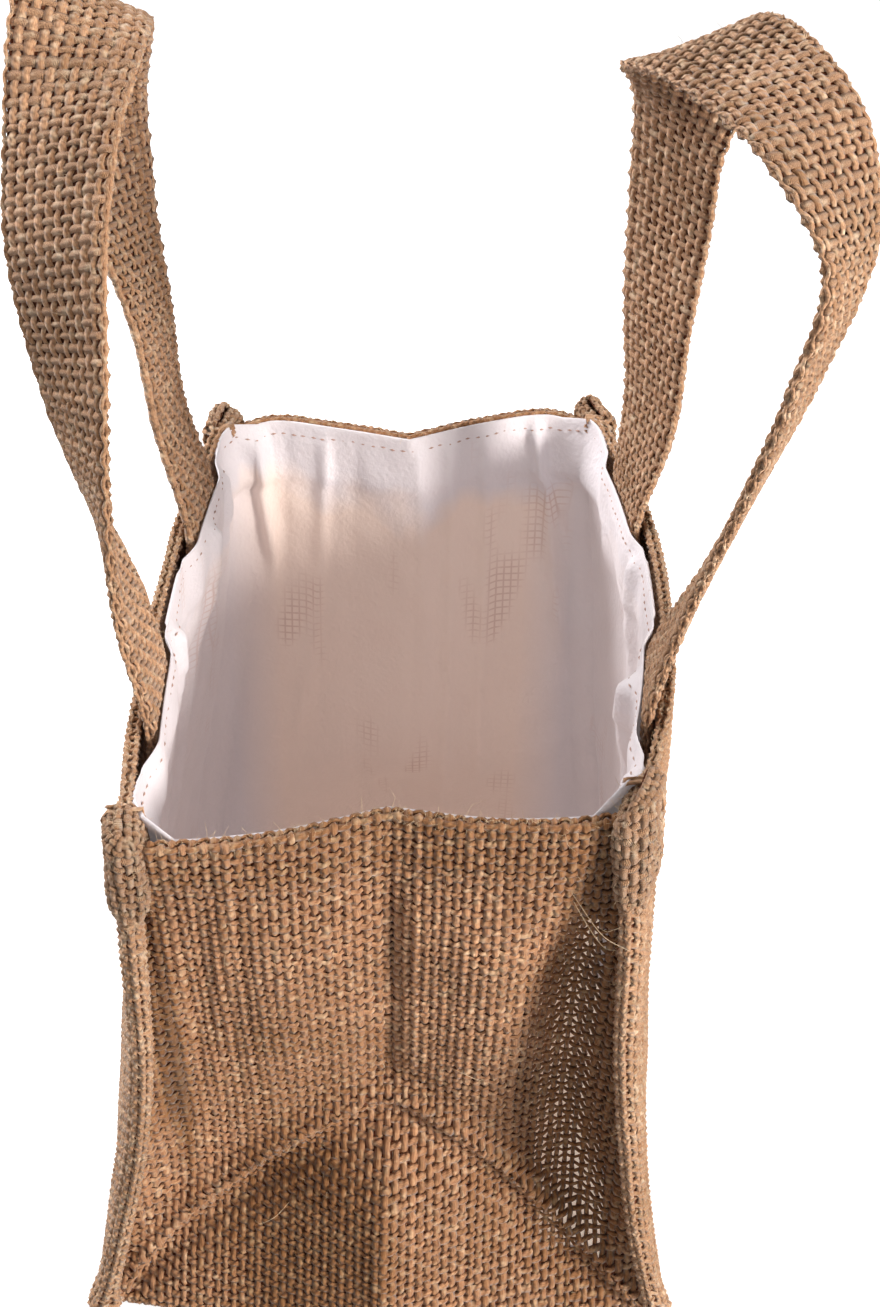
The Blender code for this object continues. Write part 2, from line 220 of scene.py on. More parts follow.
def spline(knots, values, at):
    """A smooth curve through values at knots. Each value may be a number or an array like at."""
    at = np.asarray(at, float)
    knots = np.asarray(knots, float)
    table = np.stack([np.broadcast_to(np.asarray(v, float), at.shape) for v in values])
    last = len(knots) - 1
    i = np.clip(np.searchsorted(knots, at, side="right") - 1, 0, last - 1)

    def value(k):
        return np.take_along_axis(table, k[None], 0)[0]

    def slope(k):
        a, b = np.maximum(k - 1, 0), np.minimum(k + 1, last)
        return (value(b) - value(a)) / (knots[b] - knots[a])

    span = knots[i + 1] - knots[i]
    t = np.clip((at - knots[i]) / span, 0.0, 1.0)
    return (
        (2 * t**3 - 3 * t**2 + 1) * value(i)
        + (t**3 - 2 * t**2 + t) * span * slope(i)
        + (3 * t**2 - 2 * t**3) * value(i + 1)
        + (t**3 - t**2) * span * slope(i + 1)
    )


def column(rows, name, height):
    return spline([r.height for r in rows], [getattr(r, name) for r in rows], height)


def points(x, y, z):
    return np.stack(np.broadcast_arrays(x, y, z), -1).astype(float)


def unit(v):
    return v / np.maximum(np.linalg.norm(v, axis=-1, keepdims=True), 1e-9)


def normals_of(surface, u, v, step=0.4):
    """Unit normals of a surface by small steps along both of its directions."""
    du = surface(u + step, v) - surface(u - step, v)
    dv = surface(u, v + step) - surface(u, v - step)
    return unit(np.cross(du, dv))


# Long walls


def wall_shift(side, height):
    return side * MOUTH_SKEW * height / BAG_HEIGHT


def wall_out(side, along, height):
    """The wall's middle surface, out from the centre line."""
    front, middle, back = (
        column(WALL_ROWS, f"{SIDE_NAMES[side]}_{part}", height) for part in ("front", "middle", "back")
    )
    corner = np.where(along < 0, front, back)
    return corner + (middle - corner) * (1 - np.minimum(np.abs(along) / HALF_WALL, 1) ** 2.2)


def hem_share(height):
    """0 in the single cloth, 1 in the doubled hem."""
    return ramp(height, HEM_BOTTOM - HEM_STEP, HEM_BOTTOM)


def wall_half_thickness(along, height):
    """Half the wall's thickness: one layer in the field, two at the hem, folded layers at the seams."""
    end = ramp(np.abs(along), SEAM_START - SEAM_RAMP, SEAM_START)
    foot = 1 - ramp(height, SEAM_DEPTH, SEAM_DEPTH + SEAM_RAMP)
    hem = hem_share(height)
    field = lerp(CLOTH_THICKNESS, HEM_THICKNESS, hem)
    seam = lerp(SEAM_THICKNESS, CORNER_KNOT_THICKNESS, hem * end)
    thickness = lerp(field, seam, np.maximum(end, foot))
    edge = ramp(np.abs(along), HALF_WALL - 2, HALF_WALL)
    return thickness * (1 - 0.3 * edge) / 2


def wall_inner(side, along, height):
    """X of the wall's inner face."""
    return side * (wall_out(side, along, height) - wall_half_thickness(along, height))


def corner_rise(side, along, height):
    """How far a point of the hem is raised towards the wall's top corners."""
    front, back = CORNER_RISE[side]
    end = smooth(np.abs(along), RISE_START, SEAM_PLANE)
    return np.where(along < 0, front, back) * end * ramp(height, HEM_BOTTOM, BAG_HEIGHT)


def wall_point(side, along, height, inset):
    """A point that lies inset from the wall's middle surface, along X."""
    x = side * (wall_out(side, along, height) - inset)
    return points(x, along + wall_shift(side, height), height + corner_rise(side, along, height))


# Gussets


def fold_values(rows, height):
    """A fold table at a height, from the gusset's left seam to its right one."""
    return [column(rows, name, height) for name in FoldRow._fields[1:]]


def gusset_span(height):
    """X of the gusset's left and right edges."""
    left = wall_inner(LEFT, SEAM_PLANE, height) + GAP
    right = wall_inner(RIGHT, SEAM_PLANE, height) - GAP
    return left, right


def gusset_across(x, height):
    """Where x lies across the gusset: 0 at its left edge, 1 at its right one."""
    left, right = gusset_span(height)
    return (x - left) / (right - left)


def gusset_inward(end, across, height):
    """How far the folds lie inside the seam plane. The two halves meet in a sharp fold."""
    values = fold_values(FRONT_FOLDS if end == FRONT else BACK_FOLDS, height)
    left = spline(FOLD_PLACES[:4], values[:4], np.minimum(across, 0.5))
    right = spline(FOLD_PLACES[3:], values[3:], np.maximum(across, 0.5))
    return np.where(across <= 0.5, left, right)


def gusset_point(end, across, height, inset=0.0):
    """A point on the middle surface of a gusset."""
    left, right = gusset_span(height)
    skew = lerp(wall_shift(LEFT, height), wall_shift(RIGHT, height), across)
    y = end * (SEAM_PLANE - gusset_inward(end, across, height) - inset) + skew
    return points(lerp(left, right, across), y, height)


# Meshes


def place_in_scene(name, data):
    placed = bpy.data.objects.new(name, data)
    bpy.context.scene.collection.objects.link(placed)
    return placed


def add_mesh(name, vertices, faces, material, replaces=(), uv=None, smooth_faces=True):
    """A mesh in the bag's place, riding on its body."""
    mesh = bpy.data.meshes.new(name)
    mesh.from_pydata(((np.asarray(vertices) + CENTRE) * MM).tolist(), [], faces)
    if uv is not None:
        layer = mesh.uv_layers.new(name="OFBake")
        layer.uv.foreach_set("vector", np.asarray(uv, np.float32).ravel())
    if smooth_faces:
        mesh.shade_smooth()
    mesh.materials.append(material)
    piece = place_in_scene(name, mesh)
    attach(piece, BODY)
    if replaces:
        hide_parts(*replaces)
    return piece


def grid_faces(rows, width, wrap=False):
    faces = []
    for i in range(rows - 1):
        for j in range(width if wrap else width - 1):
            k = (j + 1) % width
            faces.append((i * width + j, i * width + k, (i + 1) * width + k, (i + 1) * width + j))
    return faces


def merged(meshes):
    """Several meshes' vertices and faces as one mesh."""
    starts = np.cumsum([0] + [len(vertices) for vertices, _ in meshes])
    faces = [quads + start for (_, quads), start in zip(meshes, starts)]
    return np.concatenate([vertices for vertices, _ in meshes]), np.concatenate(faces)


def runs_along(rng, lines, stations, reach):
    """Slow random waves along each of many yarns, about 1 high."""
    noise = rng.normal(size=(lines, stations + 2 * reach))
    kernel = np.hanning(2 * reach + 1)
    kernel /= np.sqrt((kernel**2).sum())
    return np.stack([np.convolve(row, kernel, "valid") for row in noise])


def yarn_set(surface, lines, marks, along_v, keep, look, rng):
    """One set of parallel yarns: they lie at each of lines and cross the other set at each of marks.

    They pass over the other set at every second crossing. Gives the four points of their section at each
    station, and which stations are kept.
    """
    steps = np.array(look["steps"])
    stations = (marks[:, None] + steps * np.gradient(marks)[:, None]).ravel()
    crossing = np.repeat(np.arange(len(marks)), len(steps))[None] + np.arange(len(lines))[:, None]
    sign = np.where(crossing % 2 == (0 if along_v else 1), 1.0, -1.0)
    count, length = len(lines), len(stations)
    wander = 0.07 * runs_along(rng, count, length, 6) + rng.normal(0, 0.08, (count, 1))
    at = lines[:, None] + wander
    along = np.broadcast_to(stations, at.shape)
    u, v = (at, along) if along_v else (along, at)
    kept = keep(u, v)
    middle = surface(u, v)
    normal = normals_of(surface, u, v)
    spread = np.linalg.norm(np.diff(middle, axis=0), axis=-1)
    spacing = (np.concatenate([spread[:1], spread]) + np.concatenate([spread, spread[-1:]])) / 2
    # Yarns spread where the cloth is stretched and crowd where it is gathered, within limits
    cover = look["column_cover"] if along_v else look["pick_cover"]
    width = np.clip(spacing, 1.3, 3.2) * cover * look["thin"](u, v)
    width = width * (1 + 0.08 * runs_along(rng, count, length, 3) + rng.normal(0, 0.09, (count, 1)))
    height = look["height"] * (1 + 0.08 * runs_along(rng, count, length, 2))
    swing = look["swing"] * (1 + 0.12 * runs_along(rng, count, length, 1))
    centre = middle + normal * (swing * sign)[..., None]
    run = unit(np.gradient(centre, axis=1))
    side = unit(np.cross(normal, run))
    up = unit(np.cross(run, side))
    half_w, half_h = (width / 2)[..., None], (height / 2)[..., None]
    ring = np.stack([centre + side * half_w, centre + up * half_h,
                     centre - side * half_w, centre - up * half_h], 2)
    return ring, kept


def woven_mesh(surface, u_lines, v_lines, keep, look, seed):
    """Plain-woven yarns on a surface: one set runs along v, the other along u.

    In the UV map each yarn has a band of its own, with its length along U and its girth along V.
    Gives vertices, faces, UVs and the number of yarns.
    """
    rng = np.random.default_rng(seed)
    vertices, faces, uvs = [], [], []
    base, first = 0, 0
    for lines, marks, along_v in ((u_lines, v_lines, True), (v_lines, u_lines, False)):
        ring, kept = yarn_set(surface, lines, marks, along_v, keep, look, rng)
        count, length = kept.shape
        index = base + np.arange(count * length * 4).reshape(count, length, 4)
        whole = kept[:, 1:] & kept[:, :-1]
        line, station = np.nonzero(whole)
        here, there = station / (length - 1), (station + 1) / (length - 1)
        for k in range(4):
            corners = ((station, k), (station, (k + 1) % 4), (station + 1, (k + 1) % 4), (station + 1, k))
            faces.append(np.stack([index[line, at, corner] for at, corner in corners], 1))
            low, high = first + line + k / 4, first + line + (k + 1) / 4
            spots = ((here, low), (here, high), (there, high), (there, low))
            uvs.append(np.stack([np.stack(spot, 1) for spot in spots], 1))
        # A flat face closes each yarn where it starts and ends
        before = np.pad(whole, ((0, 0), (1, 0)))
        after = np.pad(whole, ((0, 0), (0, 1)))
        for ends, order in ((after & ~before, (3, 2, 1, 0)), (before & ~after, (0, 1, 2, 3))):
            line, station = np.nonzero(ends)
            faces.append(index[line, station][:, order])
            spot = np.stack([station / (length - 1), first + line + 0.5], 1)
            uvs.append(np.repeat(spot[:, None], 4, 1))
        vertices.append(ring.reshape(-1, 3))
        base += count * length * 4
        first += count
    faces = np.concatenate(faces)
    used, compact = np.unique(faces, return_inverse=True)
    return np.concatenate(vertices)[used], compact.reshape(faces.shape), np.concatenate(uvs), first


def add_weave(name, meshes, material):
    """One object of one or more woven meshes, side by side in one UV map."""
    vertices, faces = merged([mesh[:2] for mesh in meshes])
    firsts = np.cumsum([0] + [mesh[3] for mesh in meshes])
    assert firsts[-1] <= UV_BANDS, (name, firsts[-1])
    uv = np.concatenate([mesh[2] + (0, first) for mesh, first in zip(meshes, firsts)])
    uv = uv.reshape(-1, 2) / (1, UV_BANDS)
    return add_mesh(name, vertices, faces.tolist(), material, uv=uv)


def lines_between(start, end, pitch):
    """Evenly spaced places from start to end, close to a pitch apart."""
    count = max(int(round((end - start) / pitch)), 2)
    return start + (np.arange(count) + 0.5) * (end - start) / count


def flip(surface):
    """The same surface seen from its other side, mirrored across, so that its normals turn round."""
    return lambda u, v: surface(-u, v)


def behind(surface, depth):
    """A surface that lies a little behind another one."""
    return lambda u, v: surface(u, v) - normals_of(surface, u, v) * depth


def ground_sheet(name, surface, grid, keep, material, replaces=()):
    """A thin sheet under the yarns, on the same folds, with its corners at the grid's places."""
    u, v = np.meshgrid(*grid)
    place = surface(u, v)
    inside = keep(u, v)
    faces = [f for f in grid_faces(*u.shape) if all(inside.flat[k] for k in f)]
    used, compact = np.unique(np.array(faces), return_inverse=True)
    vertices = place.reshape(-1, 3)[used]
    return add_mesh(name, vertices, compact.reshape(-1, 4).tolist(), material, replaces)


def everywhere(u, v):
    return np.ones(np.shape(u), bool)


# How the yarns lie: their stations at each crossing as shares of the pitch, their width as a share of
# their spacing, their height and how far they swing over and under, and where they are thinner.
LOOK = {"steps": (-0.23, 0.23), "column_cover": 0.82, "pick_cover": 0.76, "height": YARN_HEIGHT,
        "swing": YARN_SWING, "thin": everywhere}
PLAIN_LOOK = dict(LOOK, steps=(0.0,))
KNOT_LOOK = dict(LOOK, column_cover=0.86, pick_cover=0.8, height=1.0, swing=0.42)
STRAP_LOOK = dict(LOOK, column_cover=0.78, pick_cover=0.68, height=1.0, swing=0.3)


# Materials


def linear(code):
    """An sRGB hex value as linear RGBA."""
    parts = [int(code[i : i + 2], 16) / 255 for i in (1, 3, 5)]
    return (*[c / 12.92 if c <= 0.04045 else ((c + 0.055) / 1.055) ** 2.4 for c in parts], 1.0)


def feed(made, inputs):
    """Sets a node's inputs: to a value or hex colour, or linked from a socket or a node's first output."""
    for key, value in inputs.items():
        if isinstance(value, bpy.types.Node):
            value = value.outputs[0]
        if isinstance(value, bpy.types.NodeSocket):
            made.id_data.links.new(value, made.inputs[key])
        else:
            made.inputs[key].default_value = linear(value) if isinstance(value, str) else value


def node(tree, kind, inputs=None, **settings):
    """Adds one shader node with its settings, inputs and links."""
    made = tree.nodes.new("ShaderNode" + kind)
    for key, value in settings.items():
        setattr(made, key, value)
    feed(made, inputs or {})
    return made


def grain(size):
    """A noise texture's scale, from the size of its grain in millimetres.

    Real jute fibre is a few hundredths of a millimetre thick. Drawn so fine it wouldn't show, so the
    grain of yarn, fuzz and thread is drawn coarser.
    """
    return 1 / (size * MM)


def new_material(name, roughness, sheen=0.0):
    """A material, its surface shader, and the function that adds nodes to it."""
    material = bpy.data.materials.new(name)
    material.use_nodes = True
    surface = material.node_tree.nodes["Principled BSDF"]
    feed(surface, {"Roughness": roughness, "IOR": 1.45, "Sheen Weight": sheen, "Sheen Roughness": 0.5})
    return material, surface, partial(node, material.node_tree)


# A fibre's run: the unit of the streaks and the twist along a yarn, in millimetres
FIBRE_RUN = 2.5


def jute_yarn(name, pale, mid, deep, length, painted_shading=()):
    """Spun jute yarn, unbleached: dull brown bast fibre in a loose single twist.

    The eye sees matt fibre streaks along each yarn, a slanting twist, and yarns that differ a little in
    tone. Each entry of the shading table paints shade or light over one place of the cloth, darker or
    lighter. The length is about that of the piece's yarns, in millimetres.
    """
    material, surface, add = new_material(name, 0.85, 0.2)
    place = add("SeparateXYZ", {0: add("UVMap", uv_map="OFBake")})
    row = add("Math", {0: place.outputs[1], 1: float(UV_BANDS)}, operation="MULTIPLY")
    number = add("Math", {0: row}, operation="FLOOR")
    tone = add("TexWhiteNoise", {"W": number}, noise_dimensions="1D")
    # Streaks: about 1.6 to a fibre's run along the yarn and 22 round its girth
    run = add("Math", {0: place, 1: length / FIBRE_RUN}, operation="MULTIPLY")
    turn = add("Math", {0: row, 1: 14.0}, operation="MULTIPLY")
    along_yarn = add("CombineXYZ", {0: run, 1: turn})
    fibre = add("TexNoise", {"Vector": along_yarn, "Scale": 1.6, "Detail": 3.0, "Roughness": 0.6})
    where = add("TexCoord").outputs["Object"]
    cloud = add("TexNoise", {"Vector": where, "Scale": grain(35.7), "Detail": 2.0})
    fleck = add("TexNoise", {"Vector": where, "Scale": grain(2.325), "Detail": 2.0})
    streak = add("MapRange", {0: fibre, 1: 0.3, 2: 0.7})
    base = add("Mix", {0: streak, 6: deep, 7: mid}, data_type="RGBA").outputs[2]
    light = add("MapRange", {0: fleck, 1: 0.52, 2: 0.78, 3: 0.0, 4: 0.6})
    base = add("Mix", {0: light, 6: base, 7: pale}, data_type="RGBA").outputs[2]
    spread = add("MapRange", {0: tone, 3: 0.82, 4: 1.16})
    patch = add("MapRange", {0: cloud, 1: 0.3, 2: 0.7, 3: 0.86, 4: 1.12})
    level = add("Math", {0: spread, 1: patch}, operation="MULTIPLY")
    # Painted shade and light: each entry makes the cloth darker or lighter round its middle
    for middle, reach, share in painted_shading:
        away = add("VectorMath", {0: where, 1: middle}, operation="SUBTRACT")
        scaled = add("VectorMath", {0: away, 1: reach}, operation="DIVIDE")
        distance = add("VectorMath", {0: scaled}, operation="LENGTH").outputs["Value"]
        held = add("MapRange", {0: distance, 1: 0.5, 2: 1.25, 3: share, 4: 1.0},
                   interpolation_type="SMOOTHSTEP")
        level = add("Math", {0: level, 1: held}, operation="MULTIPLY")
    # Darker places, the painted shade among them, are also more saturated, so that shade comes out redder
    full = add("MapRange", {0: level, 1: 0.6, 2: 1.0, 3: 1.15, 4: 1.0})
    # Nine radians to a fibre's run put the twist's ridges 1.75 mm apart
    slant = add("Math", {0: run, 1: row}, operation="ADD")
    twist = add("Math", {0: slant, 1: 9.0}, operation="MULTIPLY")
    ply = add("Math", {0: twist}, operation="SINE")
    relief = add("Math", {0: fibre, 1: ply}, operation="ADD")
    feed(surface, {
        "Base Color": add("HueSaturation", {"Color": base, "Saturation": full, "Value": level}),
        "Normal": add("Bump", {"Height": relief, "Strength": 0.6, "Distance": 0.0003}),
    })
    return material


def jute_fuzz_and_shade(name, colour, shade):
    """The fuzz between the yarns: loose jute fibre painted a dull dark brown, painted shade for the gaps
    between the yarns.
    """
    material, surface, add = new_material(name, 0.95)
    where = add("TexCoord").outputs["Object"]
    fuzz = add("TexNoise", {"Vector": where, "Scale": grain(1.111), "Detail": 3.0})
    feed(surface, {"Base Color": add("Mix", {0: fuzz, 6: shade, 7: colour}, data_type="RGBA").outputs[2]})
    return material


def twisted_thread(name, pale, deep):
    """Sewing thread and loose jute hairs: matt, with a slight change of tone from place to place."""
    material, surface, add = new_material(name, 0.8, 0.1)
    where = add("TexCoord").outputs["Object"]
    strand = add("TexNoise", {"Vector": where, "Scale": grain(1.667), "Detail": 2.0})
    feed(surface, {"Base Color": add("Mix", {0: strand, 6: deep, 7: pale}, data_type="RGBA").outputs[2]})
    return material


def coated_lining(name, upper, lower, glow):
    """A thin white non-woven lining with a soft satin coat.

    Below the hem it turns beige, partly the jute behind showing through and partly painted shade, while the
    long walls are painted nearly as pale as the band over the hem, a painted light. In a few patches the
    weave of the jute presses through as small squares. A faint glow stands for the light that comes through
    so thin a cloth.
    """
    material, surface, add = new_material(name, 0.55, 0.1)
    # Places on the lining are in metres, and its middle lies 7 mm to the left of the frame's
    where = add("TexCoord").outputs["Object"]
    place = add("SeparateXYZ", {0: where})
    # The pale band over the hem has a soft uneven lower edge, and the long walls are nearly as pale: both
    # partly painted light. The beige elsewhere is partly painted shade and partly the jute showing through.
    cloud = add("TexNoise", {"Vector": where, "Scale": grain(45.45), "Detail": 3.0})
    shift = add("Math", {0: cloud, 1: 0.08, 2: -0.04}, operation="MULTIPLY_ADD")
    level = add("Math", {0: place.outputs[2], 1: shift}, operation="ADD")
    rise = add("MapRange", {0: level, 1: 0.155, 2: 0.168})
    from_middle = add("Math", {0: place, 1: 0.007}, operation="ADD")
    aside = add("Math", {0: from_middle}, operation="ABSOLUTE")
    beside = add("MapRange", {0: aside, 1: 0.038, 2: 0.054, 3: 0.0, 4: 0.9})
    paler = add("Math", {0: rise, 1: beside}, operation="MAXIMUM")
    base = add("Mix", {0: paler, 6: lower, 7: upper}, data_type="RGBA").outputs[2]
    # The pressed squares follow the yarns' spacing along each side and upwards
    on_wall = add("Math", {0: aside, 1: 0.045}, operation="GREATER_THAN")
    around = add("Mix", {0: on_wall, 2: place, 3: place.outputs[1]}, data_type="FLOAT")
    waves = []
    for socket in (around.outputs[0], place.outputs[2]):
        turn = add("Math", {0: socket, 1: math.pi / (YARN_PITCH * MM)}, operation="MULTIPLY")
        wave = add("Math", {0: turn}, operation="SINE")
        waves.append(add("Math", {0: wave}, operation="ABSOLUTE"))
    square = add("Math", dict(enumerate(waves)), operation="MINIMUM")
    upright = add("VectorMath", {0: where, 1: (1.0, 1.0, 0.4)}, operation="MULTIPLY")
    patch = add("TexNoise", {"Vector": upright, "Scale": grain(20), "Detail": 2.0})
    pressed = add("MapRange", {0: patch, 1: 0.6, 2: 0.7, 3: 0.0, 4: 0.45})
    line = add("MapRange", {0: square, 1: 0.15, 2: 0.5, 3: 1.0, 4: 0.0})
    shade = add("Math", {0: line, 1: pressed}, operation="MULTIPLY")
    base = add("Mix", {0: shade, 6: base, 7: "#B08878"}, data_type="RGBA").outputs[2]
    fine = add("TexNoise", {"Vector": where, "Scale": grain(1.4286), "Detail": 2.0})
    soft = add("TexNoise", {"Vector": where, "Scale": grain(16.67), "Detail": 3.0})
    relief = add("Math", {0: soft, 1: 3.0, 2: fine}, operation="MULTIPLY_ADD")
    feed(surface, {
        "Base Color": base, "Emission Color": base, "Emission Strength": glow,
        "Normal": add("Bump", {"Height": relief, "Strength": 0.5, "Distance": 0.0006}),
    })
    return material


# Woven gussets


TURN_RADIUS = 1.1
# Past the rim the cloth turns over and runs down inside as the hem's second layer.
RIM_TURN = math.pi * TURN_RADIUS
HEM_END = BAG_HEIGHT + RIM_TURN + HEM_DEPTH - 2
SEAM_TUCK = 2.3


def over_rim(v):
    """The height at cloth length v up the outside and over the rim, and 0 outside to 1 inside."""
    top = BAG_HEIGHT - TURN_RADIUS
    angle = np.clip((v - top) / TURN_RADIUS, 0, math.pi)
    height = np.where(v < top, v, top + TURN_RADIUS * np.sin(angle))
    height = np.where(v > top + RIM_TURN, top - (v - top - RIM_TURN), height)
    return height, (1 - np.cos(angle)) / 2


# A gusset's sharp arc: a crease that climbs from both bottom corners to the apex of the fold.
ARC_ACROSS = (
    0.0, 0.05, 0.12, 0.196, 0.258, 0.329, 0.425, 0.52, 0.6, 0.68, 0.742, 0.804, 0.879, 0.938, 1.0
)
ARC_HEIGHTS = {
    FRONT: (10, 24, 35.5, 44.5, 52.5, 59.5, 66.5, 69.5, 66, 59.5, 51.5, 41, 30, 22, 12),
    BACK: (10, 22, 34, 43, 50, 57, 65, 69, 66, 59, 51, 42, 33, 22, 12),
}


def gusset_relief(end, x, across, height):
    """How far the creases stand out from the gusset's large folds."""
    rise = height - spline(ARC_ACROSS, ARC_HEIGHTS[end], across)
    centre = (across - 0.512) * GUSSET_WIDTH
    left_half = smooth(centre, 12, -12)
    # The ridge along the arc, with a hollow below it that is deeper at the left
    relief = 3.4 * np.exp(-np.abs(rise) / 3.0) - 0.8 * bump(rise - 9, 5)
    relief -= lerp(1.8, 4.4, left_half) * bump(rise + 9, 7)
    # The fold's tent below the arc
    under = smooth(rise, -2, -16)
    relief += under * (5.0 * np.maximum(1 - np.abs(centre) / 34, 0) + 1.5 * np.exp(-np.abs(centre) / 3))
    # The groove and the roll beside it that run up from the apex
    above = smooth(height, 70, 92) * (1 - smooth(height, 150, 175))
    relief -= 1.7 * above * np.exp(-np.abs(centre + 1) / 2.6)
    relief += 0.8 * above * bump(centre - 6, 5)
    # The slack cloth falls back beside the right seam
    slack = smooth(height, 16, 40) * (1 - smooth(height, 125, 160))
    relief -= 1.2 * bump((across - 0.86) * GUSSET_WIDTH, 8.5) * slack
    # Soft ripples and the tuck beside the left seam
    relief += 0.35 * np.sin(x / 9.5 + height / 31) * np.sin(height / 17 + 1.3)
    relief += 0.25 * np.sin(x / 4.7 - height / 23)
    relief += 0.9 * bump(across * 120 - 13 - height / 30, 3.0) * smooth(height, 60, 90)
    # The hem's row of stitches draws the cloth in
    relief -= 1.1 * bump(height - HEM_BOTTOM - 1.5, 1.5)
    return relief * smooth(height, 3, 14) * (1.0 if end == FRONT else 0.4)


def gusset_cloth(end):
    """The gusset's outer layer as a surface of x across and cloth length up from the base."""

    def surface(x, v):
        height, inside = over_rim(v)
        across = np.clip(gusset_across(x, height), 0, 1)
        height = np.maximum(height + spline(FOLD_PLACES, fold_values(SAG_ROWS, height), across), 0.9)
        across = np.clip(gusset_across(x, height), 0, 1)
        layer = hem_share(height) * lerp(-TURN_RADIUS, TURN_RADIUS, inside)
        tucked = 3.5 * smooth(FOLD_FOOT - height, 0.0, FOLD_FOOT)
        raised = gusset_relief(end, x, across, height) * (1 - inside)
        point = gusset_point(end, across, np.maximum(height, FOLD_FOOT), layer + tucked - raised)
        point[..., 0] = x
        point[..., 2] = height
        return point

    return surface


def gusset_keep(x, v):
    """The gusset's cloth runs on a little way into the seams."""
    left, right = gusset_span(over_rim(v)[0])
    return (x > left - SEAM_TUCK) & (x < right + SEAM_TUCK)


def loose_place(x, v):
    """1 where the front gusset's weave is pulled open beside its right seam, less at its left foot."""
    across = gusset_across(x, v)
    strip = smooth(across, 0.77, 0.84) * (1 - smooth(across, 0.94, 0.97)) * smooth(v, 14, 30)
    strip = strip * (1 - smooth(v, 146, 158)) * lerp(0.62, 1.0, smooth(v, 84, 108))
    low = smooth(across, 0.03, 0.08) * (1 - smooth(across, 0.2, 0.3))
    low = low * smooth(v, 8, 14) * (1 - smooth(v, 22, 34))
    return np.maximum(strip, 0.45 * low)


def loosened(x, v):
    return 1 - 0.38 * loose_place(x, v)


FRONT_LOOK = dict(LOOK, thin=loosened)


def add_gusset(end, name, look, materials, seed):
    """A gusset's ground and yarns, and at the front the lining that shows between its loose yarns."""
    surface, keep = gusset_cloth(end), gusset_keep
    if end == BACK:
        surface, keep = flip(surface), flip(keep)
    columns = np.arange(-33, 34) * YARN_PITCH
    mesh = woven_mesh(surface, columns, lines_between(1.0, HEM_END, PICK_PITCH), keep, look, seed)
    woven = add_weave(name + "_yarns", [mesh], materials["gusset"])
    grid = np.arange(-75, 76, 1.7), np.linspace(1.0, HEM_END, 100)
    ground_keep, seen_lining = keep, None
    if end == FRONT:
        ground_keep = lambda u, v: keep(u, v) & (loose_place(u, v) < 0.5)
        opened = lambda u, v: keep(u, v) & (loose_place(u, v) > 0.35)
        # A lining sheet just behind the loose yarns, paler and glowing: painted light from inside the bag,
        # seen through the gaps
        seen_lining = ground_sheet("lining_behind_front_gusset", behind(surface, 1.1), grid, opened,
                                   materials["lining_glow"])
    ground = ground_sheet(name + "_ground", behind(surface, 0.25), grid, ground_keep, materials["ground"])
    return ground, woven, seen_lining


# Woven walls


WALL_LAP = HALF_WALL - SEAM_START
EDGE_ROUND = 1.5
EDGE_TURN = 5.4
WALL_CLOTH = 2 * (WALL_LAP + EDGE_TURN) + WALL_LENGTH - 2 * EDGE_ROUND
EDGE_PITCH = 1.85
# The knots at the top corners: the folded seam and the folded hem, four layers deep. Their cloth wraps
# round the nose at the wall's end, spreads back along both faces and closes over the top in a dome.
KNOT_BOTTOM = HEM_BOTTOM - 6.0
KNOT_REACH = 13.0
KNOT_HALF = 0.5 * CORNER_KNOT_THICKNESS * 0.93 - 0.4
KNOT_NOSE = 3.4
KNOT_TURN = 0.5 * math.pi * 0.5 * (KNOT_HALF + KNOT_NOSE)
KNOT_SPREAD = KNOT_TURN + KNOT_REACH - KNOT_NOSE
KNOT_DOME = 3.2
KNOT_RIM = BAG_HEIGHT - KNOT_BOTTOM - KNOT_DOME
KNOT_TOP_TURN = 6.4
KNOT_TOP = KNOT_RIM + KNOT_TOP_TURN
KNOT_PITCH = 1.95
KNOT_PICK_PITCH = 2.1


def wall_cloth(side):
    """The wall's cloth as a surface of length round its seam edges, w from the middle, and length up."""
    half_face = HALF_WALL - EDGE_ROUND

    def surface(w, v):
        height, inside = over_rim(v)
        reach = np.abs(w)
        angle = np.clip((reach - half_face) / EDGE_TURN, 0, 1) * math.pi
        lap = np.maximum(reach - half_face - EDGE_TURN, 0)
        along = np.where(reach < half_face, reach, half_face + EDGE_ROUND * np.sin(angle))
        along = np.where(lap > 0, half_face - lap, along)
        outside = np.cos(angle)
        along = np.sign(w) * along
        half = wall_half_thickness(along, height) - 0.45
        # The seam's folded end makes a small lump at the wall's foot
        half = half + 1.8 * bump(height - 6, 6) * smooth(reach, 84, 92)
        face = lerp(outside, -1.0, inside)
        foot = smooth(3.0 - height, 0, 3.0)
        ripple = 0.3 * np.sin(along / 7.3 + height / 19) * np.sin(height / 12.0 + side)
        ripple -= 0.5 * bump(height - HEM_BOTTOM - 1.5, 1.3)
        near_end = smooth(HALF_WALL - 14 - np.abs(along), 0, 8)
        outer = -half * face * (1 - 0.5 * foot) - ripple * near_end * outside * (1 - inside)
        return wall_point(side, along, np.maximum(height, 0.9), outer)

    return flip(surface) if side == LEFT else surface


def wall_keep(w, v):
    """The wall's cloth ends just inside the rim and leaves the corners to the knots."""
    outer = HALF_WALL - EDGE_ROUND + EDGE_TURN
    top = np.where(np.abs(w) < outer, BAG_HEIGHT + RIM_TURN + 2, BAG_HEIGHT - 1)
    knot = (np.abs(w) > HALF_WALL - KNOT_REACH + 2.5) & (v > KNOT_BOTTOM + 2.5)
    return (v < top) & ~knot


def wall_columns():
    """Column places across the wall's cloth, closer together round its seam edges."""
    face = lines_between(-HALF_WALL + EDGE_ROUND, HALF_WALL - EDGE_ROUND, YARN_PITCH)
    edge = lines_between(HALF_WALL - EDGE_ROUND, WALL_CLOTH / 2, EDGE_PITCH)
    return np.concatenate([-edge[::-1], face, edge])


